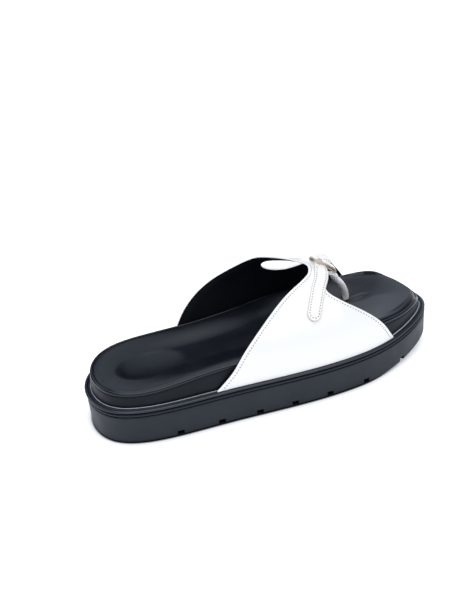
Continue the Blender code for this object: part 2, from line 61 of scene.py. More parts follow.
def cubic(knots, values, at, closed=False):
    """Cubic spline through values at the knots; its ends are straight unless it is closed."""
    knots, values = np.asarray(knots, float), np.asarray(values, float)
    last = len(knots) - 1
    step = np.diff(knots)
    matrix = np.zeros((last + 1, last + 1))
    right = np.zeros((last + 1,) + values.shape[1:])
    slope = np.diff(values, axis=0) / step.reshape((-1,) + (1,) * (values.ndim - 1))
    for i in range(1, last):
        matrix[i, i - 1:i + 2] = step[i - 1], 2 * (step[i - 1] + step[i]), step[i]
        right[i] = 6 * (slope[i] - slope[i - 1])
    if closed:
        matrix[0, 0], matrix[0, last] = 1, -1
        matrix[last, :2] = 2 * step[0], step[0]
        matrix[last, last - 1:] = step[-1], 2 * step[-1]
        right[last] = 6 * (slope[0] - slope[-1])
    else:
        matrix[0, 0] = matrix[last, last] = 1
    bend = np.linalg.solve(matrix, right)
    at = np.asarray(at, float)
    i = np.clip(np.searchsorted(knots, at) - 1, 0, last - 1)
    shape = at.shape + (1,) * (values.ndim - 1)
    h = step[i].reshape(shape)
    a = (knots[i + 1] - at).reshape(shape) / h
    b = 1 - a
    return (a * values[i] + b * values[i + 1]
            + ((a ** 3 - a) * bend[i] + (b ** 3 - b) * bend[i + 1]) * h * h / 6)


def ramp(x, start, end):
    """0 up to start and 1 from end on, without a corner at either."""
    share = np.clip((x - start) / (end - start), 0.0, 1.0)
    return share * share * (3 - 2 * share)


def mix(near, far, share):
    """From near at share 0 to far at share 1."""
    return near + (far - near) * share


def unit(vectors):
    """Vectors brought to length 1."""
    return vectors / np.linalg.norm(vectors, axis=-1, keepdims=True)


def run_length(path):
    """Distance along a path at each of its points."""
    return np.concatenate([[0], np.cumsum(np.linalg.norm(np.diff(path[:, :3], axis=0), axis=1))])


def smooth_path(points, count):
    """Spline through rows of a table, sampled evenly; further columns follow the first three."""
    points = np.asarray(points, float)
    run = run_length(points)
    return cubic(run, points, np.linspace(0, run[-1], count))


print("a spline through 0, 1, 0, half way up:", round(float(cubic([0, 1, 2], [0, 1, 0], 0.5)), 3))

# %% [markdown]
# ## The plan of the sole
# The plan is the sole's outline from above. It goes round from the heel by the outer side to the
# toe and back by the inner side. Each row is a share of the sole's length and of its width at
# the ball, which is how lasts are graded, so another size needs only two new numbers.

# %% Outline of the sole
LENGTH = 270.0
BALL_WIDTH = 100.0
# shares of the length and of the ball's width: the back of the heel, then on the lateral side the
# heel's corner, heel, waist, ball, little toe, toe's corner and toe's front, then the medial side
SOLE_PLAN = (
    (0.0, 0.005), (0.029, -0.266), (0.13, -0.41), (0.326, -0.46), (0.569, -0.517),
    (0.777, -0.475), (0.914, -0.321), (0.9945, -0.113), (0.995, 0.148), (0.947, 0.357),
    (0.78, 0.468), (0.575, 0.487), (0.354, 0.388), (0.138, 0.433), (0.037, 0.292),
)
PLAN_POINTS = 3000


def plan_curve():
    """Closed outline that starts at the back of the heel, with its knots closest at its turns."""
    points = np.array(SOLE_PLAN + SOLE_PLAN[:1]) * (LENGTH, BALL_WIDTH)
    chord = np.linalg.norm(np.diff(points, axis=0), axis=1) ** 0.5
    knots = np.concatenate([[0], np.cumsum(chord)])
    curve = cubic(knots, points, np.linspace(0, knots[-1], PLAN_POINTS + 1)[:-1], closed=True)
    curve = np.roll(curve, -int(curve[:, 0].argmin()), axis=0)
    curve[:, 0] -= curve[0, 0]
    return curve


PLAN = plan_curve()
TIP = int(PLAN[:, 0].argmax())
LATERAL = PLAN[:TIP + 1]
MEDIAL = np.vstack([PLAN[TIP:], PLAN[:1]])[::-1]
ORIGIN = np.append((PLAN.min(axis=0) + PLAN.max(axis=0)) / 2, 0.0)
print("sole:", np.round(np.ptp(PLAN, axis=0), 1), "mm long and wide")

# %% [markdown]
# ## Rings round the sole
# The platform and the footbed are both stacks of rings, each the plan moved inwards by a few
# millimetres. The stations crowd together at the heel and the toe, where the outline turns
# quickly. The front of the sole lifts a little off the floor, the toe spring, so that a stiff
# sole can roll as its wearer walks. The rubber's foot curves up further there, the rocker.

# %% Rings, and the toe spring
STATIONS = 150
RING_POINTS = 2 * STATIONS
TOE_SPRING = 5.5
SPRING_START = 185.0
ROCKER = {"start": 198.0, "rise": 5.0, "fades_at": 20.0}


def spring(x):
    """Height that the toe spring adds at distance x from the heel."""
    return TOE_SPRING * np.clip((x - SPRING_START) / (LENGTH - SPRING_START), 0, None) ** 2


def foot_lift(x, height=0.0):
    """Lift of the outsole at a height up its side: the spring, and the rocker of its foot."""
    share = np.clip((x - ROCKER["start"]) / (LENGTH - ROCKER["start"]), 0, None)
    return spring(x) + ROCKER["rise"] * share ** 1.5 * max(1 - height / ROCKER["fades_at"], 0)


def side_y(x, side):
    """The plan's y on one side, -1 lateral or 1 medial, at distance x from the heel."""
    edge = LATERAL if side < 0 else MEDIAL
    return np.interp(x, edge[:, 0], edge[:, 1])


def ring(inset, stations=STATIONS):
    """Closed ring, inset from the plan. Points k and -k share a station."""
    share = (1 - np.cos(np.linspace(0, math.pi, stations + 1))) / 2
    x = share * PLAN[TIP, 0]
    lateral = np.column_stack([x, side_y(x, -1)])
    medial = np.column_stack([x, side_y(x, 1)])
    loop = np.vstack([lateral, medial[-2:0:-1]])
    along = np.roll(loop, -1, axis=0) - np.roll(loop, 1, axis=0)
    inward = unit(np.column_stack([-along[:, 1], along[:, 0]]))
    return loop + inward * np.reshape(inset, (-1, 1))


def lifted(loop, height):
    """Plan points taken up to one height, or to one each."""
    return np.column_stack([loop, np.broadcast_to(height, len(loop))])


print("one ring has", RING_POINTS, "points; the toe lifts", TOE_SPRING, "mm")

# %% [markdown]
# ## Meshes
# Every piece is a grid of quads that is written straight into a mesh. Sculpting would be slower
# to repeat, and primitives would need more modifiers than they save. The shading is smooth, and
# an edge is sharp only where two faces meet steeply.

# %% From points to pieces
def wall_faces(rings, count, first=0, joined=False):
    """Quads between each closed ring of points and the next, and round to the first if joined."""
    return [(first + r * count + i, first + r * count + (i + 1) % count,
             first + (r + 1) % rings * count + (i + 1) % count,
             first + (r + 1) % rings * count + i)
            for r in range(rings if joined else rings - 1) for i in range(count)]


def tube_faces(rings, count, first=0):
    """Quads round a tube, and one flat face at each of its ends."""
    last = first + (rings - 1) * count
    ends = [[first + j for j in range(count - 1, -1, -1)], [last + j for j in range(count)]]
    return wall_faces(rings, count, first) + ends


def in_scene(name, data):
    """Object that shows a mesh, a lamp or a camera in the scene."""
    made = bpy.data.objects.new(name, data)
    bpy.context.scene.collection.objects.link(made)
    return made


def shoe_mesh(name, points, faces, finishes):
    """Mesh in metres from points in shoe millimetres."""
    mesh = bpy.data.meshes.new(name)
    mesh.from_pydata(((np.asarray(points, float) - ORIGIN) * MM).tolist(), [], faces)
    for material in finishes:
        mesh.materials.append(material)
    return mesh


def piece(name, points, faces, finishes, kinds=(), sharp=40.0):
    """Smooth object; kinds picks a finish by face, and faces past its end take the first."""
    mesh = shoe_mesh(name, points, faces, finishes)
    kinds = [*kinds] + [0] * (len(faces) - len(kinds))
    mesh.polygons.foreach_set("material_index", np.array(kinds, np.int32))
    edit = bmesh.new()
    edit.from_mesh(mesh)
    bmesh.ops.recalc_face_normals(edit, faces=edit.faces)
    edit.to_mesh(mesh)
    edit.free()
    mesh.shade_smooth()
    mesh.set_sharp_from_angle(angle=math.radians(sharp))
    return in_scene(name, mesh)


def settle(made, stands_for=None):
    """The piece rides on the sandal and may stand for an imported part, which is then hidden."""
    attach(made, "root")
    if stands_for:
        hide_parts(stands_for)
    print(f"{made.name}: {len(made.data.polygons)} faces")


print("from one ring to the next:", len(wall_faces(2, RING_POINTS)), "quads")

# %% [markdown]
# ## Cutting and closing
# A Boolean modifier takes one solid out of another, and its result is kept as the new mesh, so
# that nothing is left to work out later. A stack of rings is open at its foot and its top. One
# face with hundreds of corners would shade badly there, so rows of quads run from side to side.

# %% Cut a piece, close a stack
def carve(target, cutter, sharp=40.0):
    """Cut one mesh out of another for good."""
    change = target.modifiers.new("carve", "BOOLEAN")
    change.operation = "DIFFERENCE"
    change.solver = "EXACT"
    change.object = cutter
    bpy.context.view_layer.update()
    graph = bpy.context.evaluated_depsgraph_get()
    carved = bpy.data.meshes.new_from_object(target.evaluated_get(graph))
    target.modifiers.clear()
    target.data = carved
    carved.set_sharp_from_angle(angle=math.radians(sharp))
    bpy.data.objects.remove(cutter, do_unlink=True)


def stack(levels, under, over):
    """Points and faces of a stack of rings, closed at both ends.

    under and over give the number of quads from side to side, and a function for their height."""
    points = list(np.vstack(levels))
    faces = wall_faces(len(levels), RING_POINTS)
    k = np.arange(1, STATIONS)
    for first, (across, height) in ((0, under), (len(points) - RING_POINTS, over)):
        loop = np.array(points[first:first + RING_POINTS])
        share = np.arange(1, across) / across
        flat = mix(loop[k, None, :2], loop[-k, None, :2], share[None, :, None]).reshape(-1, 2)
        start = len(points)
        points.extend(lifted(flat, height(flat[:, 0], flat[:, 1])))
        rows = [[first]]
        for j in range(STATIONS - 1):
            middle = range(start + j * (across - 1), start + (j + 1) * (across - 1))
            rows.append([first + j + 1, *middle, first + RING_POINTS - j - 1])
        rows.append([first + STATIONS])
        for near, far in zip(rows, rows[1:]):
            for j in range(across):
                corners = [near[min(j, len(near) - 1)], near[min(j + 1, len(near) - 1)],
                           far[min(j + 1, len(far) - 1)], far[min(j, len(far) - 1)]]
                faces.append(list(dict.fromkeys(corners)))
    return points, faces


print("each end of a stack has", STATIONS, "rows of quads")

# %% [markdown]
# ## Finishes, and how a node is added
# Each finish is one Principled shader with a little procedural work before it: a slow mottle in
# its colour, a slow drift in its roughness, and a grain that only tilts the light. All of it is
# in object coordinates, so that a millimetre in the pattern is a millimetre on the sandal.
# Colours are the hex values a maker's card would give. They are sRGB, and the shader wants
# linear light, so one function turns them.

# %% Colour, nodes and the common recipe
def linear(colour):
    """Linear red, green, blue and alpha from an sRGB hex colour."""
    parts = [int(colour[i:i + 2], 16) / 255 for i in (1, 3, 5)]
    return [c / 12.92 if c <= 0.04045 else ((c + 0.055) / 1.055) ** 2.4 for c in parts] + [1.0]


def add_node(tree, kind, inputs=(), **settings):
    """Add a node. A value in inputs is either a socket to link or the number to set."""
    made = tree.nodes.new(kind)
    for name, value in settings.items():
        setattr(made, name, value)
    for socket, value in dict(inputs).items():
        if isinstance(value, bpy.types.NodeSocket):
            tree.links.new(value, made.inputs[socket])
        else:
            made.inputs[socket].default_value = value
    return made


def finish(name, dark, light, roughness, grain_mm, relief_mm, pebbled=False, drift=0.06,
           patch_mm=35.0, **shader):
    """A finish: two close colours in patches, drifting roughness, and a grain in relief."""
    made = bpy.data.materials.new(name)
    made.use_nodes = True
    tree = made.node_tree
    surface = tree.nodes["Principled BSDF"]
    place = add_node(tree, "ShaderNodeTexCoord").outputs["Object"]
    patches = add_node(tree, "ShaderNodeTexNoise",
                       {"Vector": place, "Scale": 1 / (patch_mm * MM), "Detail": 3.0})
    colour = add_node(tree, "ShaderNodeMix",
                      {0: patches.outputs["Fac"], 6: linear(dark), 7: linear(light)},
                      data_type="RGBA")
    handled = add_node(tree, "ShaderNodeTexNoise",
                       {"Vector": place, "Scale": 1 / (patch_mm * 0.4 * MM), "Detail": 4.0})
    spread = add_node(tree, "ShaderNodeMapRange",
                      {"Value": handled.outputs["Fac"], "From Min": 0.3, "From Max": 0.7,
                       "To Min": roughness - drift, "To Max": roughness + drift})
    kind = "ShaderNodeTexVoronoi" if pebbled else "ShaderNodeTexNoise"
    grain = add_node(tree, kind, {"Vector": place, "Scale": 1 / (grain_mm * MM)})
    height = grain.outputs["Distance" if pebbled else "Fac"]
    relief = add_node(tree, "ShaderNodeBump",
                      {"Height": height, "Distance": relief_mm * MM, "Strength": 1.0})
    tree.links.new(colour.outputs[2], surface.inputs["Base Color"])
    tree.links.new(spread.outputs["Result"], surface.inputs["Roughness"])
    tree.links.new(relief.outputs["Normal"], surface.inputs["Normal"])
    for socket, value in shader.items():
        surface.inputs[socket.replace("_", " ")].default_value = value
    return made


print("white #ffffff is", linear("#ffffff")[:3], "in linear light")

# %% [markdown]
# ## The finishes of this sandal
# Rubber from a spark-eroded mould is matt, with a very fine even texture. Corrected-grain calf is
# smooth and takes a finish coat, so white leather shows a soft clear highlight and black leather
# a broad grey sheen. The lining is plainer and drier. Cut edges are painted, which leaves a thin
# glossy line. Leather, rubber and edge paint all bend light about as much as each other, with an
# index of refraction of 1.5.

# %% Make the finishes
GRAIN = 0.9        # calf pores are about 0.3 mm apart; drawn coarser so that they show
SPARK = 0.7        # mould texture is about 0.1 mm; drawn coarser so that it shows
COOL = (0.82, 0.91, 1.0, 1.0)      # blue-black dye leaves a cold sheen
BLACK = {"pebbled": True, "drift": 0.03, "IOR": 1.5, "Specular_Tint": COOL}

# moulded rubber: matt dark blue-black, a broad weak sheen
outsole_rubber = finish("outsole_rubber", "#070c15", "#0b111c", 0.5, SPARK, 0.03, IOR=1.52,
                        Specular_IOR_Level=0.4, Specular_Tint=COOL)
# its bead: the same rubber, glossier, with a brighter, narrower sheen, and a slightly lighter
# colour that is partly a painted highlight
bead_rubber = finish("bead_rubber", "#0a111b", "#0f1723", 0.3, SPARK, 0.01, drift=0.03, IOR=1.52,
                     Specular_IOR_Level=0.6, Specular_Tint=COOL)
# dyed and finished leather over foam: darker than the rubber and a little silkier
footbed_leather = finish("footbed_leather", "#05090f", "#080d16", 0.34, GRAIN, 0.025,
                         Specular_IOR_Level=0.42, **BLACK)
# the wrap of its wall: the same leather, duller, and a little darker as painted shade
footbed_wall = finish("footbed_wall", "#04070b", "#070b12", 0.45, GRAIN, 0.025,
                      Specular_IOR_Level=0.26, **BLACK)
# its lip: the same leather, glossier, with a narrower, brighter sheen, and a slightly lighter
# colour that is partly a painted highlight
footbed_lip = finish("footbed_lip", "#070b12", "#0a0f18", 0.26, GRAIN, 0.015,
                     Specular_IOR_Level=0.5, **BLACK)
# coated smooth calf: bright white with a soft clear highlight
upper_calf = finish("upper_calf", "#eff0f0", "#f4f5f5", 0.34, GRAIN, 0.012, pebbled=True,
                    drift=0.012, patch_mm=60.0, IOR=1.5, Coat_Weight=0.25, Coat_Roughness=0.2)
# split leather lining: black and dry, it swallows light
lining_split = finish("lining_split", "#030509", "#06080d", 0.62, 0.6, 0.04, IOR=1.45,
                      Specular_IOR_Level=0.15, Specular_Tint=COOL)
# acrylic edge paint: white, glossy, slightly uneven
edge_paint = finish("edge_paint", "#f2f2f2", "#fafafa", 0.28, 2.5, 0.05, drift=0.04, IOR=1.5)
# the bow's strap: the same calf, softer from handling
bow_calf = finish("bow_calf", "#edecea", "#f5f4f2", 0.36, GRAIN, 0.03, pebbled=True,
                  drift=0.04, IOR=1.5, Coat_Weight=0.2, Coat_Roughness=0.2)
# its back and folds: undyed leather, pale beige and matt, on the loops' backs; over the whole
# knot the same beige is painted shade of its folds
bow_back_and_fold_shade = finish("bow_back_and_fold_shade", "#b5a99d", "#cbc0b6", 0.6, 0.5, 0.06, patch_mm=9.0, IOR=1.45)
# the strap's cut edges: sealed, a pale warm grey
bow_edge = finish("bow_edge", "#d6d3d0", "#e2dfdc", 0.45, 0.6, 0.03, patch_mm=12.0, IOR=1.5)
# the post: soft rolled kid, uncoated; a little whiter than the flaps, painted light against the
# shade it stands in
post_kid = finish("post_kid", "#f8f8f9", "#fcfcfc", 0.36, 0.7, 0.03, pebbled=True, IOR=1.5)
# bonded polyester thread: off-white, twisted every half millimetre
thread = finish("thread", "#e2e3e6", "#eff0f2", 0.55, 0.5, 0.08, IOR=1.55)
# the needle's holes: a grey disc in each, painted shade for the dark inside of the hole
needle_hole_shade = finish("needle_hole_shade", "#87898d", "#98999c", 0.8, 0.5, 0.05, IOR=1.45)
# the bonding line at the foot of the footbed: pale cement, squeezed out and wiped; its pale
# grey is partly a painted highlight along the joint
cement_and_highlight = finish("cement_and_highlight", "#a9b0ba", "#c6ccd5", 0.34, 0.8, 0.06, IOR=1.5)
print(len(bpy.data.materials), "materials")

# %% [markdown]
# ## Platform outsole
# The platform is one moulding. From the floor up its side is a tall, nearly upright wall, a fine
# groove, a narrow ridge, a deeper groove and a rounded bead. Inside the bead a shallow gully
# runs to the foot of the footbed. The profile is a short table of heights and insets, swept
# round the plan. At the front the wall stands straighter, so it moves out there. A drawn profile
# on a curve could be extruded round the sole, but it couldn't change on the way.

# %% Sweep the side of the platform
SOLE_TOP = 26.3
OUTSOLE_SIDE = (
    (0.0, 3.2), (0.12, 2.7), (0.35, 2.3), (0.75, 2.0), (1.4, 1.85), (2.6, 1.8), (4.4, 1.72),
    (7.0, 1.58), (10.0, 1.44), (13.0, 1.3), (16.0, 1.15), (18.6, 1.02), (19.8, 0.97),
    (20.2, 1.0), (20.4, 1.15), (20.6, 1.5), (20.75, 1.85), (20.95, 1.95), (21.15, 1.8),
    (21.3, 1.35), (21.5, 1.0), (21.85, 0.72), (22.3, 0.62), (22.8, 0.72), (23.1, 1.0),
    (23.3, 1.5), (23.5, 2.1), (23.75, 2.4), (24.0, 2.15), (24.15, 1.4), (24.35, 0.75),
    (24.65, 0.28), (25.05, 0.02), (25.4, 0.0), (25.75, 0.14), (26.02, 0.45), (26.2, 0.85),
    (26.28, 1.25), (26.2, 1.65), (26.0, 2.0), (25.7, 2.3), (25.45, 2.65), (25.4, 3.0),
    (25.55, 3.4), (25.85, 3.8), (26.1, 4.1), (26.25, 4.6), (26.3, 5.4),
)
# the bead and its crest take the glossier rubber, whose lighter colour is partly a painted
# highlight
BEAD_SHEEN = {"from_height": 24.1, "inset": 2.2}       # the bead and its crest are polished by wear
# where the wall gets straighter, how far it moves out at the floor and how much less for each
# mm up its side, and the heights between which that ends
UPRIGHT = {"x": (200.0, 260.0), "at_floor": 1.295, "per_mm": 0.0315, "ends": (23.0, 24.0)}
FOOT_ROWS, TOP_ROWS = 24, 12       # quads from side to side, underneath and on top
plan = ring(0.0)


def straighter(x, height):
    """How much further out the wall stands near the toe, where it is more upright."""
    fade = np.interp(height, UPRIGHT["ends"], (1.0, 0.0))
    return ramp(x, *UPRIGHT["x"]) * (UPRIGHT["at_floor"] - UPRIGHT["per_mm"] * height) * fade


levels = []
for height, inset in OUTSOLE_SIDE:
    loop = ring(inset - straighter(plan[:, 0], height))
    levels.append(lifted(loop, height + foot_lift(loop[:, 0], height)))
points, faces = stack(levels, (FOOT_ROWS, lambda x, y: foot_lift(x)),
                      (TOP_ROWS, lambda x, y: SOLE_TOP + spring(x)))
heights, insets = np.array(OUTSOLE_SIDE)[:-1].T
bead_sheen = (heights >= BEAD_SHEEN["from_height"]) & (insets < BEAD_SHEEN["inset"])
outsole = piece("platform_outsole", points, faces, [outsole_rubber, bead_rubber],
                np.repeat(bead_sheen, RING_POINTS))
print("the side has", len(OUTSOLE_SIDE), "rings,", int(bead_sheen.sum()), "of them polished")

# %% [markdown]
# ## Lugs
# Gaps between the lugs are cut through the foot of the wall, square to the edge, and shallow
# channels join them underneath. A Boolean is the plain way to cut them, and the wall has enough
# rows that the cuts leave no long thin faces.

# %% Cut the gaps between the lugs
LUG_GAP = {"width": 5.0, "from": -8.0, "depth": 18.0, "height": 4.0}
CHANNEL_HEIGHT = 1.4
UNDER_FLOOR = -4.0
LUG_GAP_PLACES = (52.0, 82.0, 110.0, 136.5, 164.0, 195.0, 231.5)


def gap_corners(x, side, near, far):
    """Plan corners of a lug gap, square to the edge, between two depths from it."""
    spot = np.array([x, side_y(x, side)])
    along = unit(np.array([2.0, side_y(x + 1, side) - side_y(x - 1, side)]))
    inward = np.array([along[1], -along[0]]) * side
    half = LUG_GAP["width"] / 2
    return [spot + along * a * half + inward * b
            for a, b in ((-1, near), (1, near), (1, far), (-1, far))]


def box_cutter(name, plans):
    """Boxes on four-cornered plans, each with its own top."""
    points, faces = [], []
    for corners, top in plans:
        faces += tube_faces(2, 4, len(points))
        points += [(*corner, z) for z in (UNDER_FLOOR, float(top)) for corner in corners]
    return piece(name, points, faces, [outsole_rubber])


gaps = [(gap_corners(x, side, LUG_GAP["from"], LUG_GAP["depth"]),
         LUG_GAP["height"] + foot_lift(x, LUG_GAP["height"]))
        for side in (-1, 1) for x in LUG_GAP_PLACES]
carve(outsole, box_cutter("lug_gaps", gaps))
channels = []
for x in LUG_GAP_PLACES:
    outer, inner = (gap_corners(x, side, 0, LUG_GAP["depth"] - 1)[2:] for side in (-1, 1))
    channels.append((outer[::-1] + inner, CHANNEL_HEIGHT + foot_lift(x)))
carve(outsole, box_cutter("channels", channels))
settle(outsole, stands_for="outsole")

# %% [markdown]
# ## Footbed
# The footbed is foam with a leather cover over its top and a leather wall round its side. Its
# edge is a lip whose height changes on the way round: low at the heel, high under the arch and
# on the big toe's side, and almost gone at the front. Just inside the lip a narrow pressed
# groove frames the padded top. A bevel would give one round edge all the way; a section table
# gives the seam, the roll and the groove, and the edge table says how high they stand where.

# %% Edge of the footbed
WALL_INSET = 4.4
FOOTBED_BASE = SOLE_TOP + 0.06
# side (-1 lateral, 1 medial), distance from the heel, lip height, rise of the cover, lean
FOOTBED_EDGE = (
    (-1, 0.0, 11.6, 0.4, 0.9), (-1, 20.0, 10.8, 0.4, 0.9), (-1, 43.0, 11.8, 0.4, 1.1),
    (-1, 70.0, 14.6, 0.4, 1.8), (-1, 100.0, 15.9, 0.6, 2.8), (-1, 140.0, 15.8, 0.8, 3.2),
    (-1, 185.0, 15.0, 0.8, 3.2), (-1, 222.0, 13.2, 0.8, 2.2), (-1, 242.0, 10.2, 1.0, 1.0),
    (-1, 256.0, 8.6, 1.6, 0.7), (-1, 264.0, 6.4, 2.8, 0.7), (1, 270.0, 4.8, 4.0, 0.7),
    (1, 268.0, 6.2, 3.2, 0.7), (1, 264.0, 9.0, 2.4, 0.8), (1, 256.0, 12.9, 2.2, 0.9),
    (1, 246.0, 15.4, 2.3, 1.0), (1, 230.0, 16.4, 2.4, 1.1), (1, 186.0, 16.8, 2.4, 1.3),
    (1, 136.0, 16.0, 0.8, 1.3), (1, 100.0, 16.6, 0.8, 1.1), (1, 61.0, 14.8, 0.6, 0.9),
    (1, 30.0, 13.0, 0.4, 0.9), (1, 0.0, 11.6, 0.4, 0.9),
)
# share of the lip height, mm over it, share of the cover rise, share of the lean, inset
FOOTBED_SECTION = (
    (0.0, 0.0, 0.0, 0.0, 0.7), (0.0, 0.25, 0.0, 0.0, 0.2), (0.0, 0.8, 0.0, 0.02, 0.0),
    (0.3, -0.9, 0.0, 0.15, 0.02), (0.5, -1.5, 0.0, 0.3, 0.05), (0.7, -2.1, 0.0, 0.48, 0.1),
    (0.9, -2.7, 0.0, 0.68, 0.15), (1.0, -3.0, 0.0, 0.76, 0.2), (1.0, -2.75, 0.0, 0.79, 0.35),
    (1.0, -2.6, 0.0, 0.8, 0.75), (1.0, -2.45, 0.0, 0.81, 0.35), (1.0, -2.2, 0.0, 0.84, 0.15),
    (1.0, -1.7, 0.0, 0.89, 0.08), (1.0, -1.15, 0.0, 0.93, 0.16), (1.0, -0.7, 0.0, 0.96, 0.36),
    (1.0, -0.32, 0.0, 0.98, 0.64), (1.0, -0.08, 0.0, 1.0, 1.0),
    (1.0, 0.0, 0.02, 1.0, 1.4), (1.0, -0.1, 0.05, 1.0, 1.75), (1.0, -0.45, 0.08, 1.0, 2.0),
    (1.0, -0.55, 0.12, 1.0, 2.2), (1.0, -0.35, 0.2, 1.0, 2.45), (1.0, -0.1, 0.3, 1.0, 2.75),
    (1.0, 0.02, 0.48, 1.0, 3.2), (1.0, 0.06, 0.7, 1.0, 3.8), (1.0, 0.1, 0.9, 1.0, 4.7),
    (1.0, 0.1, 1.0, 1.0, 5.8),
)
WALL_ROWS, LIP_ROWS = 9, 18        # the wall's wrap ends at the first row, the lip at the second


def edge_heights(loop):
    """Lip height, cover rise and lean of the wall for each point of a ring."""
    rows = np.array(FOOTBED_EDGE)
    run = np.where(rows[:, 0] < 0, rows[:, 1], 2 * LENGTH - rows[:, 1])
    x = np.clip(loop[:, 0], 0, LENGTH)
    place = np.where(np.arange(len(loop)) <= STATIONS, x, 2 * LENGTH - x)
    return cubic(run, rows[:, 2:], place, closed=True).T


lip, rise, lean = edge_heights(plan)
print("lip:", round(float(lip.min()), 1), "to", round(float(lip.max()), 1), "mm over the platform")

# %% [markdown]
# ## The padded top
# Inside the frame the top is a shaped surface: an oval cup under the heel, a swell under the
# arch and a small ridge ahead of the toe post. A height worked out for each place keeps them
# soft and separate. Toward the edge it eases into the height of the lip.

# %% Foot side of the footbed
FOOTBED_TOP = ((0.0, 37.8), (45.0, 37.2), (95.0, 38.4), (140.0, 39.4), (180.0, 38.6),
               (215.0, 37.0), (245.0, 36.6), (270.0, 36.0))
HEEL_CUP = {"x": 47.5, "y": -2.0, "half_length": 26.0, "half_width": 18.0, "depth": 2.6,
            "soft_rim": 0.08}
ARCH = {"x": 118.0, "length": 52.0, "y": (2.0, 36.0), "rise": 3.2}
TOE_RIDGE = {"x": 221.0, "y": 8.5, "half_length": 12.5, "half_width": 4.0, "rise": 1.5}
# in the heel, and in the forepart, which starts over these distances: how much of the edge
# settles the lip's height beside a place, and how far in the top has left that height
FOREPART = (190.0, 230.0)
LIP_REACH = (4.0, 14.0)
COVER_FALL = (20.0, 34.0)
UNDER_ROWS, PAD_ROWS = 8, 64


def oval_reach(x, y, oval):
    """0 in the middle of an oval and 1 on its edge."""
    return np.hypot((x - oval["x"]) / oval["half_length"], (y - oval["y"]) / oval["half_width"])


def foot_height(x, y):
    """Height of the padded top, away from its edge."""
    height = cubic(*np.array(FOOTBED_TOP).T, x) + spring(x)
    inside = np.clip(1 - oval_reach(x, y, HEEL_CUP) ** 2, 0, None)
    height = height - HEEL_CUP["depth"] * inside ** 2 / (inside + HEEL_CUP["soft_rim"])
    along = np.exp(-((x - ARCH["x"]) / ARCH["length"]) ** 2)
    height = height + ARCH["rise"] * ramp(y, *ARCH["y"]) * along
    return height + TOE_RIDGE["rise"] * ramp(oval_reach(x, y, TOE_RIDGE), 1, 0)


def padded_height(x, y):
    """The foot side, eased into the frame of the groove near the edge."""
    gap = np.hypot(crest[:, 0] - x[:, None], crest[:, 1] - y[:, None])
    nearest = gap.min(axis=1)
    forward = ramp(x, *FOREPART)
    weight = np.exp(-(gap - nearest[:, None]) / mix(*LIP_REACH, forward)[:, None])
    edge = (crest[:, 2] * weight).sum(axis=1) / weight.sum(axis=1)
    return mix(edge, foot_height(x, y), ramp(nearest, 0, mix(*COVER_FALL, forward)))


levels = []
for share, over, risen, leant, inset in FOOTBED_SECTION:
    height = FOOTBED_BASE + lip * share + over + rise * risen + spring(plan[:, 0])
    levels.append(lifted(ring(WALL_INSET + lean * leant + inset), height))
crest = levels[-1]
points, faces = stack(levels, (UNDER_ROWS, lambda x, y: FOOTBED_BASE + spring(x)),
                      (PAD_ROWS, padded_height))
# the wall takes a darker copy of the leather as painted shade, the lip a lighter one as a painted
# highlight
wall_and_lip = np.repeat([1] * WALL_ROWS + [2] * (LIP_ROWS - WALL_ROWS), RING_POINTS)
footbed = piece("padded_footbed", points, faces, [footbed_leather, footbed_wall, footbed_lip],
                wall_and_lip, sharp=60.0)
print("frame of the top:", *np.round([crest[:, 2].min(), crest[:, 2].max()], 1), "mm high")

# %% [markdown]
# ## Sweeps
# The toe post, its slot and cuff, and the bow's strap and knot are each a section carried along
# a path. A Blender curve with a bevel could do it, but here the section changes on the way. So
# each ring is placed with one direction for its width and one for its depth.

# %% Sweep a section along a path
def frames(path, width_direction):
    """Directions of the width and the depth at each point of a path."""
    travel = unit(np.gradient(path, axis=0))
    width = np.broadcast_to(np.asarray(width_direction, float), path.shape)
    width = unit(width - travel * (width * travel).sum(axis=1)[:, None])
    return width, np.cross(travel, width)


def sweep(path, sections, width_direction):
    """Closed sweep: sections holds one closed ring of (across, up) points for each path point."""
    path = np.asarray(path, float)
    points = [middle + section @ np.array([width, depth])
              for middle, width, depth, section in zip(path, *frames(path, width_direction),
                                                       sections)]
    return np.vstack(points), tube_faces(len(path), len(sections[0]))


def turns(sides):
    """Angle of each corner of a section."""
    return 2 * math.pi * (np.arange(sides) + 0.5) / sides


def oval(half_width, half_depth, sides, power=2.0):
    """One ring of a rounded section; a higher power makes it squarer."""
    across, up = np.cos(turns(sides)), np.sin(turns(sides))
    radius = (abs(across) ** power + abs(up) ** power) ** (-1 / power)
    return np.column_stack([half_width * radius * across, half_depth * radius * up])


def circle(across, up, sides):
    """Points round a centre, from the vectors of a first and a second radius."""
    turn = 2 * math.pi * np.arange(sides) / sides
    return np.multiply.outer(np.cos(turn), across) + np.multiply.outer(np.sin(turn), up)


print("an oval 2 mm wide, of 8 sides, reaches", round(float(oval(1, 1, 8)[:, 0].max()), 2), "mm")

# %% [markdown]
# ## Toe post
# The post is a strip of soft kid rolled round a cord and closed with one seam at the back. It
# comes up out of the footbed between the big toe and the next, and bends back to run under the
# flaps. Where it bends, the inside of the roll wrinkles. The seam and the wrinkles are pressed
# into the section before it is swept, as a bump in the finish wouldn't change its outline.

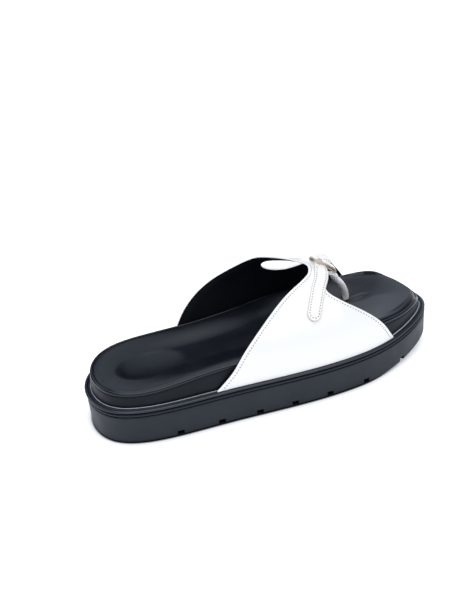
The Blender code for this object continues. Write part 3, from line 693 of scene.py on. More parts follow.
# %% Roll the post
# x, y, z, width and depth of the roll
TOE_POST = (
    (213.2, 13.3, 34.8, 5.2, 5.2),
    (213.2, 12.9, 41.0, 5.2, 5.2),
    (211.6, 11.9, 46.5, 5.2, 5.2),
    (208.4, 10.1, 52.6, 5.2, 5.0),
    (203.9, 7.8, 58.4, 5.2, 4.8),
    (200.6, 6.0, 62.4, 5.2, 4.4),
    (198.4, 4.6, 65.6, 5.2, 3.4),
    (193.8, 3.4, 68.7, 5.8, 2.4),
    (188.8, 2.9, 71.3, 7.0, 2.0),
    (183.4, 2.8, 73.95, 7.6, 2.0),
)
ACROSS = (0.0, 1.0, 0.0)
POST_SIDES, POST_ROWS = 32, 110
SEAM = {"turn": 1.25 * math.pi, "depth": 0.35, "width": 0.22}
WRINKLES = ((13.5, 0.16), (16.4, 0.22), (19.2, 0.2), (22.4, 0.24), (25.0, 0.16), (28.5, 0.2))
WRINKLE_WIDTH = 0.75

post_path = smooth_path(TOE_POST, POST_ROWS)
post_run = run_length(post_path)
turn = turns(POST_SIDES)
off_seam = (turn - SEAM["turn"] + math.pi) % (2 * math.pi) - math.pi
seam_groove = SEAM["depth"] * np.exp(-(off_seam / SEAM["width"]) ** 2)
inner_side = 0.5 - 0.5 * np.sin(turn)
sections = []
for run, row in zip(post_run, post_path):
    wrinkle = sum(deep * math.exp(-((run - at) / WRINKLE_WIDTH) ** 2) for at, deep in WRINKLES)
    section = oval(row[3] / 2, row[4] / 2, POST_SIDES)
    shrink = 1 - (seam_groove + wrinkle * inner_side) / (row[4] / 2)
    sections.append(section * shrink[:, None])
points, faces = sweep(post_path[:, :3], sections, ACROSS)
# the post's whiter colour is painted light against the flaps' shade
settle(piece("toe_post_roll", points, faces, [post_kid], sharp=70.0),
       stands_for="toe_post")

# %% [markdown]
# ## The post's slot
# The post goes down through the cover in a slot that is a little wider than itself. The slot is
# cut once the footbed is whole, with a short round sweep along the post's own line.

# %% Cut the slot
SLOT_CLEARANCE = 0.5
SLOT_SIDES = 40
first, second = post_path[0, :3], np.array(TOE_POST[1][:3])
down = unit(first - second)
slot_path = [first + down * SLOT_CLEARANCE, 2 * second - first]
slot_reach = TOE_POST[0][3] / 2 + SLOT_CLEARANCE
points, faces = sweep(slot_path, [oval(slot_reach, slot_reach, SLOT_SIDES)] * 2, ACROSS)
carve(footbed, piece("post_slot", points, faces, [footbed_leather]), sharp=60.0)
settle(footbed, stands_for="footbed")

# %% [markdown]
# ## The post's cuff
# A short cuff of the strap's leather, wrapped three times, holds the post just below the bow. It
# follows the post's own rows a little further out, so it can't stand off it.

# %% Wrap the cuff
CUFF = {"x": 198.9, "half_length": 2.4, "wall": 0.85, "sunk": 0.1, "wraps": 3, "dip": 0.2}
CUFF_ROWS, CUFF_SIDES = 25, 28
BENT_FROM = 40             # from this row on the post runs steadily back toward the heel
reach = np.linspace(-1, 1, CUFF_ROWS)
cuff_run = np.interp(-CUFF["x"], -post_path[BENT_FROM:, 0], post_run[BENT_FROM:])
cuff_rows = np.array([np.interp(cuff_run + CUFF["half_length"] * reach, post_run, column)
                      for column in post_path.T]).T
swell = CUFF["wall"] * np.sqrt(np.clip(1 - abs(reach) ** 5, 0, 1))
swell *= 1 - CUFF["dip"] * (1 - np.abs(np.sin(math.pi * CUFF["wraps"] * (reach + 1) / 2)))
sections = [oval(*(row[3:] / 2 - CUFF["sunk"] + s), CUFF_SIDES)
            for row, s in zip(cuff_rows, swell)]
points, faces = sweep(cuff_rows[:, :3], sections, ACROSS)
settle(piece("toe_post_cuff", points, faces, [bow_calf], sharp=70.0))

# %% [markdown]
# ## Bonding line
# Where the footbed's wall meets the platform, a thin line of cement was squeezed out and wiped
# smooth. It is a fine closed tube that follows the foot of the wall, fuller at the toe, and its
# pale colour is partly a painted highlight along the joint, brighter at the toe. Painted on the
# wall, it would have no thickness to catch the light.

# %% Lay the cement line
# fuller at the toe, where the line's painted highlight is brighter
CEMENT_RADIUS = (0.24, 0.38)       # at the sides and at the toe
CEMENT_TOE = (205.0, 225.0)
CEMENT_OUT = 0.12                  # how far out from the wall and up from the platform it lies
middle = ring(WALL_INSET - CEMENT_OUT)
line = lifted(middle, SOLE_TOP + CEMENT_OUT + spring(middle[:, 0]))
away = lifted(unit(middle - ring(WALL_INSET + 1)), 0.0)
radius = mix(*CEMENT_RADIUS, ramp(middle[:, :1], *CEMENT_TOE))
hoop = line + circle(away * radius, radius * (0, 0, 1), 8)
settle(piece("cement_line", hoop.reshape(-1, 3), wall_faces(8, RING_POINTS, joined=True),
             [cement_and_highlight], sharp=80.0))

# %% [markdown]
# ## The last
# A shoe takes its shape from the last it was pulled over. Each cross section of this last is a
# quarter of a superellipse on each side of the crown, its highest line: nearly round on the
# outer side and squarer on the inner side. A place on the last is named by its distance from
# the heel and its angle up the section, 0 at the sole and 90 at the crown.

# %% Surface of the last
GAP = 0.3
UPPER_INSET = 1.9
BASE_BLEND = math.radians(35.0)
CROWN = {"x": 182.0, "y": 2.8, "height": 78.0, "rear_rise": 0.133, "rear_curve": -0.00013,
         "front_fall": 0.332, "rear_shift": 0.471}
LAST_EDGE = {-1: -49.7, 1: 46.4}
ROUNDNESS = {-1: (2.0, 2.0), 1: (2.92, 3.64)}
SECTION_CHANGE = (174.0, 206.0)
SHOULDER_RISE = {-1: 0.0, 1: 0.0074}
SHOULDER_EASE = 40.0
QUARTER = math.pi / 2


def crown(x):
    """y and height of the highest line of the last."""
    ahead = x - CROWN["x"]
    behind = np.clip(-ahead, 0, None)
    y = CROWN["y"] + CROWN["rear_shift"] * behind
    z = (CROWN["height"] + CROWN["rear_rise"] * behind + CROWN["rear_curve"] * behind ** 2
         - CROWN["front_fall"] * np.clip(ahead, 0, None))
    return y, z


def last_surface(x, angle, side):
    """Points of the last's surface, before any crease."""
    x, angle = np.broadcast_arrays(np.asarray(x, float), np.asarray(angle, float))
    middle, top = crown(x)
    behind = np.clip(CROWN["x"] - x, 0, None)
    top = top + SHOULDER_RISE[side] * behind ** 2 / (1 + behind / SHOULDER_EASE)
    foot = side_y(x, side) - side * UPPER_INSET
    reach = mix(foot, LAST_EDGE[side], ramp(angle, 0, BASE_BLEND)) - middle
    power = mix(*ROUNDNESS[side], ramp(x, *SECTION_CHANGE))
    across, up = np.maximum(np.cos(angle), 1e-6), np.maximum(np.sin(angle), 1e-6)
    radius = (across ** power + up ** power) ** (-1 / power)
    base = SOLE_TOP + GAP + spring(x)
    return np.stack([x, middle + reach * radius * across, mix(base, top, radius * up)], -1)


def outward(x, angle, side):
    """Direction out of the last at each place."""
    above, below = np.minimum(angle + 0.01, QUARTER), np.maximum(angle - 0.01, 0.0)
    along = last_surface(x + 0.5, angle, side) - last_surface(x - 0.5, angle, side)
    up = last_surface(x, above, side) - last_surface(x, below, side)
    return unit(np.cross(along, up) * -side)


print("crown over the instep:", [round(float(v), 1) for v in crown(150.0)], "mm")

# %% [markdown]
# ## Creases
# New calf over a last is smooth, and only the neck under the bow is pulled into soft folds.
# Each crease here is listed: a line on the last with a depth and a width. Its trough
# fades out at both ends. A negative depth makes a ridge.

# %% Creases of the two flaps
# side, then distance and angle at each end, depth, width
CREASES = (
    (-1, 176.5, 84.0, 168.5, 64.0, 0.55, 2.2),
    (-1, 181.5, 82.0, 178.5, 58.0, 0.4, 2.4),
    (-1, 186.0, 84.0, 187.0, 60.0, 0.6, 2.2),
    (-1, 171.0, 76.0, 156.0, 52.0, -0.35, 5.0),
    (1, 178.5, 84.0, 172.0, 66.0, 0.5, 2.4),
    (1, 184.0, 84.0, 184.0, 66.0, 0.45, 2.4),
    (1, 189.0, 84.0, 196.0, 66.0, 0.5, 2.4),
)


def crease_depth(points):
    """How far each point is pushed in by the creases near it."""
    depth = np.zeros(points.shape[:-1])
    share = np.linspace(0, 1, 24)
    for side, x0, a0, x1, a1, deep, width in CREASES:
        line = last_surface(mix(x0, x1, share), np.radians(mix(a0, a1, share)), side)
        gap = np.linalg.norm(points[..., None, :] - line, axis=-1)
        nearest = gap.argmin(axis=-1)
        fade = np.sin(math.pi * np.clip(share[nearest], 0.02, 0.98)) ** 0.7
        depth += deep * fade * np.exp(-(gap.min(axis=-1) / width) ** 2)
    return depth


def leather(x, angle, side, lift=0.0):
    """Points on the outer face of the upper, creases included, lifted off it if asked."""
    on_last = last_surface(x, angle, side)
    out = outward(x, angle, side)
    return on_last + out * (lift - crease_depth(on_last))[..., None], out


print(len(CREASES), "creases, up to", max(row[5] for row in CREASES), "mm deep")

# %% [markdown]
# ## Upper
# The upper is two flaps that are one piece of leather with its lining. Its pattern is drawn on
# the last: at each angle up the section, a distance from the heel for the rear and for the front
# edge of each flap. A grid of quads follows the pattern, so its edges are clean curves. Trimming
# a whole upper with cutters would leave ragged ones.

# %% Pattern of the flaps
# angle, then the lateral rear, lateral front, medial rear and medial front edges
FLAP_EDGES = (
    (0.0, 81.0, 221.5, 78.5, 232.0), (10.0, 93.0, 217.0, 84.5, 230.4),
    (20.0, 102.0, 212.5, 96.5, 227.9), (30.0, 113.5, 206.0, 114.7, 223.5),
    (40.0, 127.0, 195.0, 133.3, 217.3), (50.0, 140.5, 181.5, 145.6, 211.4),
    (58.0, 151.5, 177.0, 152.7, 205.8), (66.0, 162.5, 180.5, 163.2, 199.6),
    (78.0, 173.5, 187.0, 176.2, 191.0), (90.0, 178.0, 189.0, 178.0, 189.0),
)
UPPER_ROWS = 100
UPPER_COLUMNS = 72
WALL = 2.0
EDGE_WALL = 1.2    # leather and lining are pared thin along the edge over a few millimetres
SKIVE = 7.0


def flap_edges(angle, side):
    """Rear and front edge of a flap at each angle."""
    table = np.array(FLAP_EDGES)
    columns = table[:, 1:3] if side < 0 else table[:, 3:5]
    return cubic(table[:, 0], columns, np.degrees(angle)).T


angles = np.linspace(0, QUARTER, UPPER_ROWS + 1)
wide = UPPER_COLUMNS + 1
grid, out, thick = [], [], []
for side, order in ((-1, slice(None)), (1, slice(-2, None, -1))):
    rear, front = flap_edges(angles[order], side)
    x = mix(rear[:, None], front[:, None], np.linspace(0, 1, wide))
    found = leather(x, angles[order][:, None], side)
    grid.append(found[0])
    out.append(found[1])
    from_edge = np.minimum(x - rear[:, None], front[:, None] - x)
    thick.append(mix(EDGE_WALL, WALL, ramp(from_edge, 0, SKIVE)))
grid, out, thick = np.vstack(grid), np.vstack(out), np.vstack(thick)
inner = grid - out * thick[:, :, None]
for row in (0, -1):
    inner[row, :, 2] = grid[row, :, 2]
print("upper:", grid.shape[0], "rows of", grid.shape[1], "points")

# %% [markdown]
# ## Cut edges of the upper
# The leather is a thin closed shell, white outside and black inside, with its cut edge rounded
# and painted white. A Solidify modifier would leave square edges, so a few rings of points go
# round each edge instead. The faces are told apart as they are made: outside, edge and lining.

# %% Close the shell round its edges
EDGE_ROUND = 4
EDGE_SWELL = 0.5
edge_turn = math.pi * np.arange(1, EDGE_ROUND + 1) / (EDGE_ROUND + 1)


def shell_kinds(face, edge, rings):
    """Finish 0 on the outer face, 1 round both edges and 2 on the back, for rings of points."""
    kinds = np.full(2 * (face + edge), 1)
    kinds[:face - 1] = 0
    kinds[face + edge:2 * face + edge - 1] = 2
    return list(np.tile(kinds, rings - 1))


def rounded_edge(column, beside, first, second):
    """Points from one face round the cut edge to the other, for every row."""
    along = unit(np.gradient(grid[:, column], axis=0))
    away = np.cross(along, out[:, column])
    away = unit(away) * np.sign((away * (grid[:, column] - grid[:, beside])).sum(-1))[:, None]
    middle, half = (first + second) / 2, (first - second) / 2
    return np.stack([middle + half * math.cos(t) + away * EDGE_SWELL * math.sin(t)
                     for t in edge_turn], axis=1)


front_edge = rounded_edge(-1, -2, grid[:, -1], inner[:, -1])
rear_edge = rounded_edge(0, 1, inner[:, 0], grid[:, 0])
loops = np.concatenate([grid, front_edge, inner[:, ::-1], rear_edge], axis=1)
around = loops.shape[1]
faces = wall_faces(len(loops), around)
for start in (0, (len(loops) - 1) * around):
    far = start + 2 * wide + EDGE_ROUND - 1
    faces += [[start + c, start + c + 1, far - c - 1, far - c] for c in range(wide - 1)]
    faces.append([start + wide - 1 + j for j in range(EDGE_ROUND + 2)])
    faces.append([far + j for j in range(EDGE_ROUND + 1)] + [start])
kinds = shell_kinds(wide, EDGE_ROUND, len(loops))
kinds += [1] * (len(faces) - len(kinds))
upper = piece("upper_flaps", loops.reshape(-1, 3), faces, [upper_calf, edge_paint, lining_split],
              kinds, sharp=50.0)
print("the shell has", len(faces), "faces")

# %% [markdown]
# ## Cut-out of the inner flap
# The inner flap has an oval window over the arch side of the foot. Its outline is an oval on a
# flat plane beside the flap. A projected curve would slip on the steep leather. So each point of
# the outline is followed down to the leather by a few Newton steps, and the hole, its painted
# rim and its row of stitches share one curve.

# %% Follow an oval on to the leather
CUT_OUT = {"x": 175.4, "angle": 48.2, "half_length": 20.5, "half_width": 8.6, "turn": 3.6}
NEWTON = {"steps": 12, "x": 0.1, "angle": 0.002}
LEATHER_RADIUS = 45.0              # rough radius of the flap's bend, for the first guess
hole_angle = math.radians(CUT_OUT["angle"])
hole_middle = last_surface(CUT_OUT["x"], hole_angle, 1)
hole_along = unit(last_surface(CUT_OUT["x"] + 1, hole_angle, 1) - hole_middle)
hole_up = (last_surface(CUT_OUT["x"], hole_angle + 0.02, 1)
           - last_surface(CUT_OUT["x"], hole_angle - 0.02, 1))
hole_up = unit(hole_up - hole_along * hole_up.dot(hole_along))


def oval_on_leather(margin, count):
    """Distance and angle of each point of the cut-out's oval, grown by a margin."""
    t = 2 * math.pi * np.arange(count) / count
    turn = math.radians(CUT_OUT["turn"])
    a = (CUT_OUT["half_length"] + margin) * np.cos(t)
    b = (CUT_OUT["half_width"] + margin) * np.sin(t)
    wanted = np.stack([a * math.cos(turn) - b * math.sin(turn),
                       a * math.sin(turn) + b * math.cos(turn)], -1)
    plane = np.stack([hole_along, hole_up], -1)
    place = np.stack([CUT_OUT["x"] + wanted[:, 0], hole_angle + wanted[:, 1] / LEATHER_RADIUS], -1)
    on_plane = lambda x, angle: (last_surface(x, angle, 1) - hole_middle) @ plane
    for _ in range(NEWTON["steps"]):
        x, angle = place.T
        here = on_plane(x, angle)
        by_x = (on_plane(x + NEWTON["x"], angle) - here) / NEWTON["x"]
        by_angle = (on_plane(x, angle + NEWTON["angle"]) - here) / NEWTON["angle"]
        slope = np.stack([by_x, by_angle], -1)
        place += np.linalg.solve(slope, (wanted - here)[..., None])[..., 0]
    return place


RIM_POINTS = 120
rim = oval_on_leather(0.0, RIM_POINTS)
print("cut-out spans", np.round(np.ptp(rim[:, 0]), 1), "mm along the foot")

# %% [markdown]
# ## Edge of the cut-out
# A maker cuts the window with a press knife square to the leather, folds nothing and paints the
# edge. The knife is a closed band that stands square to the leather all round. The paint is a
# thin hoop in the hole, as thick as the wall, which rounds the cut and catches the light.

# %% Cut the hole and paint its rim
KNIFE = (-6.0, 4.0)                # how far it reaches inside and outside the leather
RIM = {"swell": 0.28, "proud": 0.05, "lap": 0.2}
rim_points, rim_out = leather(rim[:, 0], rim[:, 1], 1)
points = np.vstack([rim_points + rim_out * reach for reach in KNIFE])
faces = tube_faces(2, RIM_POINTS)
knife = piece("press_knife", points, faces, [upper_calf, edge_paint], [1] * len(faces))
carve(upper, knife, sharp=50.0)
settle(upper, stands_for="upper")

middle = rim_points - rim_out * WALL / 2
inward = unit(hole_middle - middle)
inward = unit(inward - rim_out * (inward * rim_out).sum(-1)[:, None]) * RIM["swell"]
hoop = middle + inward * RIM["lap"] + circle(inward, rim_out * (WALL / 2 + RIM["proud"]), 10)
settle(piece("cut_out_edge", hoop.reshape(-1, 3), wall_faces(10, RIM_POINTS, joined=True),
             [edge_paint], sharp=80.0))

# %% [markdown]
# ## Stitching
# Both flaps are sewn to the lining with one row of lockstitch about 2 mm in from each edge, at
# eleven or twelve stitches to the inch, and the cut-out has a row round it. Each stitch is its
# own small rounded thread that sinks into the leather at both ends, with a grey disc of painted
# shade for the needle hole in between. Dashes painted in a texture would look flat as soon as
# they catch the light.

# %% One stitch after another
STITCH = {"pitch": 2.2, "thread": 1.25, "radius": 0.27, "flat": 0.8, "hole": 0.5}
# share of the half length, share of the radius, and rise as a share of the radius
THREAD_RINGS = ((-1.0, 0.25, -0.25), (-0.75, 0.8, 0.0), (-0.3, 1.0, 0.12), (0.3, 1.0, 0.12),
                (0.75, 0.8, 0.0), (1.0, 0.25, -0.25))
HOLE_HEIGHTS = (-0.1, 0.03)
THREAD_SIDES, HOLE_SIDES = 6, 8
AIM = 0.3                          # distance to either side that gives a stitch its direction


def stitches(line, out):
    """For each stitch along a line: the rings of its thread, kind 0, and of a hole, kind 1."""
    run = run_length(line)
    count = max(int(round(run[-1] / STITCH["pitch"])), 2)
    place = lambda at, column: np.array([np.interp(at, run, v) for v in column.T])
    for k in range(count):
        at = (k + 0.5) * run[-1] / count
        middle, up = place(at, line), unit(place(at, out))
        along = unit(place(at + AIM, line) - place(at - AIM, line))
        across = np.cross(up, along)
        thick = STITCH["radius"] * circle(across, up * STITCH["flat"], THREAD_SIDES)
        yield 0, [middle + along * share * STITCH["thread"] / 2 + up * sink * STITCH["radius"]
                  + thick * fat for share, fat, sink in THREAD_RINGS]
        # the hole is a flat grey disc: painted shade for the inside of a needle hole
        hole = circle(along, across, HOLE_SIDES) * STITCH["hole"]
        hole += place(k * run[-1] / count, line)
        yield 1, [hole + up * height for height in HOLE_HEIGHTS]


def sew(name, lines):
    """One piece with the threads and needle holes of several lines."""
    points, faces, kinds = [], [], []
    for line, out in lines:
        for kind, rings in stitches(line, out):
            found = tube_faces(len(rings), len(rings[0]), len(points))
            faces += found
            kinds += [kind] * len(found)
            points += [point for one_ring in rings for point in one_ring]
    settle(piece(name, points, faces, [thread, needle_hole_shade], kinds, sharp=60.0))


print("one thread is", STITCH["thread"], "mm long and", 2 * STITCH["radius"], "mm thick")

# %% [markdown]
# ## Seams of the upper
# Seams run at one distance in from the edges of the flaps and of the cut-out. Counted in columns
# of the grid, that distance would change where a flap is narrow or its rows meet the edge aslant.
# So it is worked out square to the edge.

# %% Sew the flaps and the cut-out
SEAM_INSET = 1.8
HOLE_SEAM = 2.0
FARTHEST = 0.45            # share of the columns that a seam may move in by


def edge_line(column, step):
    """Line a set distance in from the rear (column 0) or front (-1) edge of both flaps."""
    edge = grid[:, column]
    along = unit(np.gradient(edge, axis=0))
    inwards = grid[:, column + step] - edge
    spacing = np.linalg.norm(inwards, axis=-1)
    inwards = unit(inwards)
    lean = np.linalg.norm(inwards - along * (inwards * along).sum(-1)[:, None], axis=-1)
    steps = np.clip(SEAM_INSET / lean / spacing, 0, UPPER_COLUMNS * FARTHEST)
    low = np.floor(steps).astype(int)
    share = (steps - low)[:, None]
    rows = np.arange(len(grid))
    start = 0 if step > 0 else UPPER_COLUMNS
    here, there = start + step * low, start + step * (low + 1)
    blend = lambda field: field[rows, here] * (1 - share) + field[rows, there] * share
    return blend(grid)[2:-2], blend(out)[2:-2]


hole_seam = oval_on_leather(HOLE_SEAM, RIM_POINTS + 1)
hole_seam = np.vstack([hole_seam, hole_seam[:1]])
sew("upper_stitching", [edge_line(0, 1), edge_line(-1, -1),
                        leather(hole_seam[:, 0], hole_seam[:, 1], 1)])

# %% [markdown]
# ## The bow's strap
# The bow is one flat strap, 10 mm wide, folded and sewn so that calf shows on its face and a
# plainer leather on its back. Its section is flat with rounded edges, and it cups a little, more
# where it is pulled into the knot. A free end is cut round. The strap is swept too, with a
# section worked out for each place; a cloth simulation would lose its sharp, sewn edges.

# %% A flat strap along a path
STRAP_WIDTH = 10.2
LOOP_WIDTH = 5.6
INNER_TAIL_WIDTH = 8.0
STRAP_THICKNESS = 1.3
FACE_POINTS, EDGE_POINTS = 11, 4
# share of the width left inside the knot, and how soon it is full at the start and at the end
PINCH = {"left": 0.62, "start": 6.0, "end": 5.0}
ROUND_TIP = 0.985
PULL = {"cup": 0.9, "fades": 3.5}


def tip_width(path, width, free):
    """Half width along a strap: pinched inside the knot, and round at a free tip."""
    run = run_length(path)
    half = width / 2 * mix(PINCH["left"], 1, ramp(run, 0, PINCH["start"]))
    if free:
        inside = np.clip(1 - (run[-1] - run) / (width / 2), 0, ROUND_TIP)
        return half * np.sqrt(1 - inside ** 2)
    return half * mix(PINCH["left"], 1, ramp(run[-1] - run, 0, PINCH["end"]))


def pulled_cup(path, cup, free):
    """Cupping of a strap: strong at the knot, slight elsewhere."""
    run = run_length(path)
    pull = np.exp(-run / PULL["fades"])
    if not free:
        pull = pull + np.exp(-(run[-1] - run) / PULL["fades"])
    return cup + PULL["cup"] * pull


def strap(name, path, width_direction, width, cup, free=False):
    """Strap from the knot to its free tip or back, calf outside and plain inside.

    Its path, directions, half widths and cups come back, for the stitching."""
    half, cups = tip_width(path, width, free), pulled_cup(path, cup, free)
    radius = STRAP_THICKNESS / 2
    face = np.linspace(-1, 1, FACE_POINTS)
    bend = np.radians(np.linspace(70, -70, EDGE_POINTS))
    sections = []
    for h, c in zip(half, cups):
        flat = max(h - radius, 0.1)
        above = [(flat * u, radius) for u in face]
        above += [(flat + radius * math.cos(b), radius * math.sin(b)) for b in bend]
        section = np.vstack([above, -np.array(above)])
        section[:, 1] -= c * (section[:, 0] / h) ** 2
        sections.append(section)
    points, faces = sweep(path, sections, width_direction)
    kinds = shell_kinds(FACE_POINTS, EDGE_POINTS, len(path)) + [1, 1]
    finishes = [bow_calf, bow_edge if free else bow_back_and_fold_shade, bow_back_and_fold_shade]
    settle(piece(name, points, faces, finishes, kinds, sharp=50.0))
    return path, width_direction, half, cups


print("the strap's section has", 2 * (FACE_POINTS + EDGE_POINTS), "points")

# %% [markdown]
# ## Loops and tails
# The front loop bows forward and down over the toe post, the rear loop is small and stands on
# edge, one tail lies along the outer flap and the other falls to the inner side. All of them
# start in the knot. A few points give each path, and a spline makes it one easy bend.

# %% Loops and inner tail
KNOT = {"middle": (185.5, 2.8, 80.2), "size": (5.2, 7.0, 4.6)}
# directions of the width
LOOP_BANK = (0.0, 0.95, 0.3)
REAR_BANK = (-0.9, -0.42, 0.0)
TAIL_BANK = (0.0, 0.87, 0.45)
# x, y, z from the middle of the knot
FRONT_LOOP = ((0.0, -0.6, 1.0), (3.5, -1.2, -0.2), (7.2, -1.2, -2.9), (11.2, -0.8, -6.3),
              (12.9, -0.4, -9.0), (12.8, -0.3, -10.3), (11.4, -0.3, -9.7), (9.0, -0.7, -7.5),
              (6.2, -1.2, -5.2), (3.2, -1.2, -2.3), (0.0, -0.6, -1.1))
REAR_LOOP = ((0.0, 0.0, 1.0), (-0.6, 2.2, 2.1), (-1.2, 4.6, 2.7), (-1.8, 6.6, 2.3),
             (-2.1, 7.3, 0.9), (-1.8, 6.3, -0.4), (-1.0, 3.8, -0.8), (0.0, 0.0, -0.8))
INNER_TAIL = ((0.4, 0.8, 0.8), (3.4, 3.0, 1.0), (6.8, 4.4, 0.0), (10.2, 4.6, -2.2),
              (13.0, 4.2, -5.2))


def from_knot(offsets, count):
    """Smooth path through points that are given from the middle of the knot."""
    return smooth_path(np.array(offsets) + np.array(KNOT["middle"]), count)


strap("bow_front_loop", from_knot(FRONT_LOOP, 90), LOOP_BANK, LOOP_WIDTH, 0.25)
strap("bow_rear_loop", from_knot(REAR_LOOP, 70), REAR_BANK, LOOP_WIDTH * 0.9, 0.2)
inner_tail = strap("bow_inner_tail", from_knot(INNER_TAIL, 80), TAIL_BANK, INNER_TAIL_WIDTH, 0.3,
                   free=True)

# %% [markdown]
# ## The long tail
# This tail lies flat on the outer flap, down to its middle. Its path is given on the last, so it
# rests on the leather with its creases, and the leather's own direction turns its width.

# %% Long tail on the outer flap
# distance from the heel, angle up the section, lift off the leather
SIDE_TAIL = ((184.6, 86.0, 1.15), (182.0, 78.0, 1.1), (177.8, 68.5, 1.0), (172.2, 59.5, 1.0),
             (167.0, 50.5, 1.0), (162.4, 42.5, 1.1), (158.0, 34.5, 1.4))
LEAD_ROWS = 6              # rows between the knot and the leather
rows = smooth_path(SIDE_TAIL, 120)
tail_path, tail_out = leather(rows[:, 0], np.radians(rows[:, 1]), -1, lift=rows[:, 2])
start = np.array(KNOT["middle"])
lead = mix(start, tail_path[0], np.linspace(0, 0.85, LEAD_ROWS)[:, None])
tail_path = np.vstack([lead, tail_path])
tail_out = np.vstack([np.repeat(tail_out[:1], LEAD_ROWS, axis=0), tail_out])
tail_width = np.cross(tail_out, np.gradient(tail_path, axis=0))
side_tail = strap("bow_side_tail", tail_path, tail_width, STRAP_WIDTH, 0.22, free=True)

# %% [markdown]
# ## Stitching of the tails
# The strap is sewn close to both its edges and round its tip, as the seam holds face and back
# together. The line follows the strap's own width and cup, and stops where the knot hides it.

# %% Sew the tails
TAIL_SEAM = 1.75
TAIL_SEAM_START = 6.0


def tail_line(path, width_direction, half, cup):
    """Line that runs down one side of a tail, round its tip and up the other side."""
    width, depth = frames(path, width_direction)
    run = run_length(path)
    keep = (run > TAIL_SEAM_START) & (run < run[-1] - TAIL_SEAM)
    across = np.maximum(half - TAIL_SEAM, 0.0)
    inside = np.clip(1 - (run[-1] - TAIL_SEAM - run) / (half.max() - TAIL_SEAM), 0, 1)
    across = np.minimum(across, (half.max() - TAIL_SEAM) * np.sqrt(1 - inside ** 2))
    sides = []
    for sign in (-1, 1):
        lift = STRAP_THICKNESS / 2 - cup * (across / half) ** 2
        side = path + width * (across * sign)[:, None] + depth * lift[:, None]
        sides.append(side[keep])
    line = np.vstack([sides[0], sides[1][::-1]])
    return line, np.vstack([depth[keep], depth[keep][::-1]])


sew("bow_stitching", [tail_line(*side_tail), tail_line(*inner_tail)])

# %% [markdown]
# ## The knot
# The knot is a turn of the same strap pulled tight, with soft pleats across it, and its pale
# beige all over is painted shade of its folds. It is a short squarish sweep whose section shrinks
# toward both ends. Each pleat is a slanting trough in it.

# %% Tie the knot
KNOT_SIDES, KNOT_ROWS = 56, 29
END_SHRINK = 0.42
PLEAT_RADIUS = 3.6         # the knot's wide radius, by which a pleat's depth becomes a share
# share along the knot, tilt, depth and width of each pleat
PLEATS = ((-0.45, 0.35, 0.5, 0.13), (0.02, -0.2, 0.42, 0.12), (0.5, 0.3, 0.5, 0.13))
along = np.linspace(-1, 1, KNOT_ROWS)
turn = turns(KNOT_SIDES)
middle = np.array([[KNOT["middle"][0] + KNOT["size"][0] / 2 * a, *KNOT["middle"][1:]]
                   for a in along])
sections = []
for a in along:
    full = 1 - abs(a) ** 4 * END_SHRINK
    section = oval(KNOT["size"][1] / 2 * full, KNOT["size"][2] / 2 * full, KNOT_SIDES, 2.4)
    pleat = sum(deep * np.exp(-((a - at - tilt * np.sin(turn)) / width) ** 2)
                for at, tilt, deep, width in PLEATS)
    sections.append(section * (1 - pleat / PLEAT_RADIUS)[:, None])
points, faces = sweep(middle, sections, ACROSS)
# the knot's pale beige all over is painted shade of its folds
settle(piece("bow_knot", points, faces, [bow_back_and_fold_shade], sharp=80.0), stands_for="bow")

# %% [markdown]
# ## Floor
# The floor is a pale sheet lit from above, and its own glow is painted light, so shadows nearly
# vanish on it. It glows everywhere but under and close to the sandal, where its colour is a
# painted dark shade. Its rings follow the sole, and each carries its own share of the glow.

# %% Floor with a painted glow away from the sandal
FLOOR_DROP = 0.0003
# distance out from the sole's edge in mm, share of the painted glow there
PAINTED_GLOW = ((-12.0, 0.0), (-2.0, 0.0), (0.0, 0.66), (3.0, 0.9), (10.0, 0.98), (22.0, 1.02),
        (60.0, 1.0), (200.0, 1.0), (1000.0, 1.25), (3000.0, 1.7), (6000.0, 2.0))
FOLLOWS = 60.0             # mm out to which the rings follow the sole; then they spread
FLOOR_STATIONS = 60
# painted light: the floor's glow reaches in under the lifted toe
TUCK = {"share": 1.6, "ends": 22.0}      # the light reaches in under the lifted toe
PAINTED_FLOOR_GLOW = 0.5
lift = foot_lift(ring(0.0, FLOOR_STATIONS)[:, 0])
sheet, painted_glow = [], []
for out_by, share in PAINTED_GLOW:
    tucked = TUCK["share"] * lift * (1 - ramp(out_by, 0, TUCK["ends"]))
    flat = ring(tucked - min(out_by, FOLLOWS), FLOOR_STATIONS)
    away = unit(flat - ORIGIN[:2])
    sheet.extend(lifted(flat + away * max(out_by - FOLLOWS, 0.0), -FLOOR_DROP / MM))
    painted_glow += [share] * len(flat)
sides = 2 * FLOOR_STATIONS

# cast acrylic: a matt pale sheet with a slight haze; its glow is painted light, and its colour
# is painted shade, dark under the sandal
acrylic = bpy.data.materials.new("floor_painted_glow_and_shade")
acrylic.use_nodes = True
tree = acrylic.node_tree
shader = tree.nodes["Principled BSDF"]
shader.inputs["Emission Color"].default_value = linear("#ffffff")
share = add_node(tree, "ShaderNodeAttribute", attribute_name="painted_glow").outputs["Fac"]
# painted shade: where the painted glow is low, under the sandal, the sheet's colour turns dark
painted_shade = add_node(tree, "ShaderNodeMapRange", {"Value": share, "From Max": 0.5})
painted_shade_colour = add_node(tree, "ShaderNodeMix", {0: painted_shade.outputs["Result"],
                        6: linear("#15181d"), 7: linear("#e9ecf2")}, data_type="RGBA")
tree.links.new(painted_shade_colour.outputs[2], shader.inputs["Base Color"])
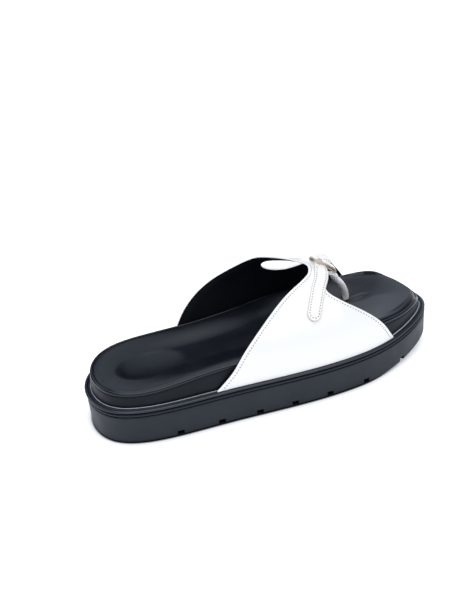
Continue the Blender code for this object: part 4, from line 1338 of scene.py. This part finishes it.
# painted light: the sheet glows by its share of the painted glow, though it is no lamp
power = add_node(tree, "ShaderNodeMath", {0: share, 1: PAINTED_FLOOR_GLOW}, operation="MULTIPLY")
haze = add_node(tree, "ShaderNodeTexNoise", {"Scale": 3.0})
tone = add_node(tree, "ShaderNodeMapRange",
                {"Value": haze.outputs["Fac"], "To Min": 0.8, "To Max": 0.86})
tree.links.new(power.outputs[0], shader.inputs["Emission Strength"])
tree.links.new(tone.outputs["Result"], shader.inputs["Roughness"])
sheet_mesh = shoe_mesh("studio_floor", sheet, wall_faces(len(PAINTED_GLOW), sides) + [list(range(sides))],
                       [acrylic])
sheet_mesh.attributes.new("painted_glow", "FLOAT", "POINT").data.foreach_set("value", painted_glow)
floor = in_scene("studio_floor", sheet_mesh)
print("floor glow", PAINTED_FLOOR_GLOW)

# %% [markdown]
# ## Room and lamps
# Light comes from one wide soft lamp overhead, a smaller one beyond the toe and a pale room. The
# sheen of black leather is a reflection of what stands around it, so the room has a bright
# horizon under a dim ceiling, and is even beyond the sandal. Only its strength is worked out.

# %% Room and lamps
ROOM_LIGHT, DIM_CEILING, FAR_ROOM = 1.3, 0.1, 1.0
room = bpy.data.worlds.new("white_room")
bpy.context.scene.world = room
room.use_nodes = True
tree = room.node_tree
air = tree.nodes["Background"]
air.inputs["Color"].default_value = linear("#eaf1ff")
# bright walls near the horizon, a dim ceiling
direction = add_node(tree, "ShaderNodeTexCoord").outputs["Generated"]
split = add_node(tree, "ShaderNodeSeparateXYZ", {"Vector": direction})
fade = add_node(tree, "ShaderNodeMapRange",
                {"Value": split.outputs["Z"], "From Min": 0.0, "From Max": 0.36,
                 "To Min": ROOM_LIGHT, "To Max": DIM_CEILING * ROOM_LIGHT},
                interpolation_type="SMOOTHSTEP")
# beyond the sandal the room is even, from the wall to the ceiling
beyond = add_node(tree, "ShaderNodeMapRange",
                  {"Value": split.outputs["Y"], "From Min": 0.2, "From Max": 0.6},
                  interpolation_type="SMOOTHSTEP")
strength = add_node(tree, "ShaderNodeMix", {0: beyond.outputs["Result"],
                    2: fade.outputs["Result"], 3: FAR_ROOM}, data_type="FLOAT")
tree.links.new(strength.outputs[0], air.inputs["Strength"])


def lamp(name, place, target, size, power, colour):
    """Square soft lamp that faces a target."""
    light = bpy.data.lights.new(name, "AREA")
    light.size = size
    light.energy = power
    light.color = linear(colour)[:3]
    made = in_scene(name, light)
    made.location = place
    aim = np.array(place) - np.array(target)
    made.rotation_euler = (math.atan2(math.hypot(aim[0], aim[1]), aim[2]), 0.0,
                           math.atan2(aim[0], -aim[1]))


lamp("overhead_softbox", (-0.1, -0.4, 1.5), (0.0, 0.0, 0.03), 2.2, 31.6, "#fffefc")
lamp("toe_softbox", (0.9, 0.95, 0.4), (0.08, 0.0, 0.04), 1.5, 0.9, "#f2f5ff")

# %% [markdown]
# ## Black card
# A black card beyond the sandal, which only reflections see, keeps the white floor out of the
# leather's gloss and draws the dark side of the heel dish. It is low beyond the heel and tall
# beyond the waist, and the even room above it lights the rest of the leather.

# %% Stand the card beyond the sandal
CARD_Y = 0.13
# x and height of its corners, in metres
CARD = ((-0.24, 0.0), (-0.24, 0.1), (-0.065, 0.1), (-0.03, 0.19), (0.1, 0.19), (0.1, 0.0))
card_mesh = bpy.data.meshes.new("black_card")
card_mesh.from_pydata([(x, CARD_Y, z) for x, z in CARD], [], [list(range(len(CARD)))])
card_mesh.materials.append(lining_split)
card = in_scene("black_card", card_mesh)
card.visible_camera = card.visible_diffuse = card.visible_shadow = False
print("card:", len(CARD), "corners")

# %% [markdown]
# ## Camera
# The sandal is seen from its outer side, a little from behind and from above. A longish lens
# stands well back, so the near edge isn't stretched. The last turn rolls the camera slightly.

# %% Camera
CAMERA_PLACE = (-0.24183, -0.55905, 0.3738)
AZIMUTH, ELEVATION, ROLL = -21.02, 26.79, -5.09
camera = bpy.data.cameras.new("camera")
camera.lens = 56.825
camera.sensor_width = 36.0
viewpoint = in_scene("camera", camera)
viewpoint.matrix_world = (Matrix.Translation(CAMERA_PLACE)
                          @ Matrix.Rotation(math.radians(AZIMUTH), 4, "Z")
                          @ Matrix.Rotation(math.radians(90.0 - ELEVATION), 4, "X")
                          @ Matrix.Rotation(math.radians(ROLL), 4, "Z"))
bpy.context.scene.camera = viewpoint
bpy.context.scene.view_settings.view_transform = "Standard"
print("camera at", CAMERA_PLACE)
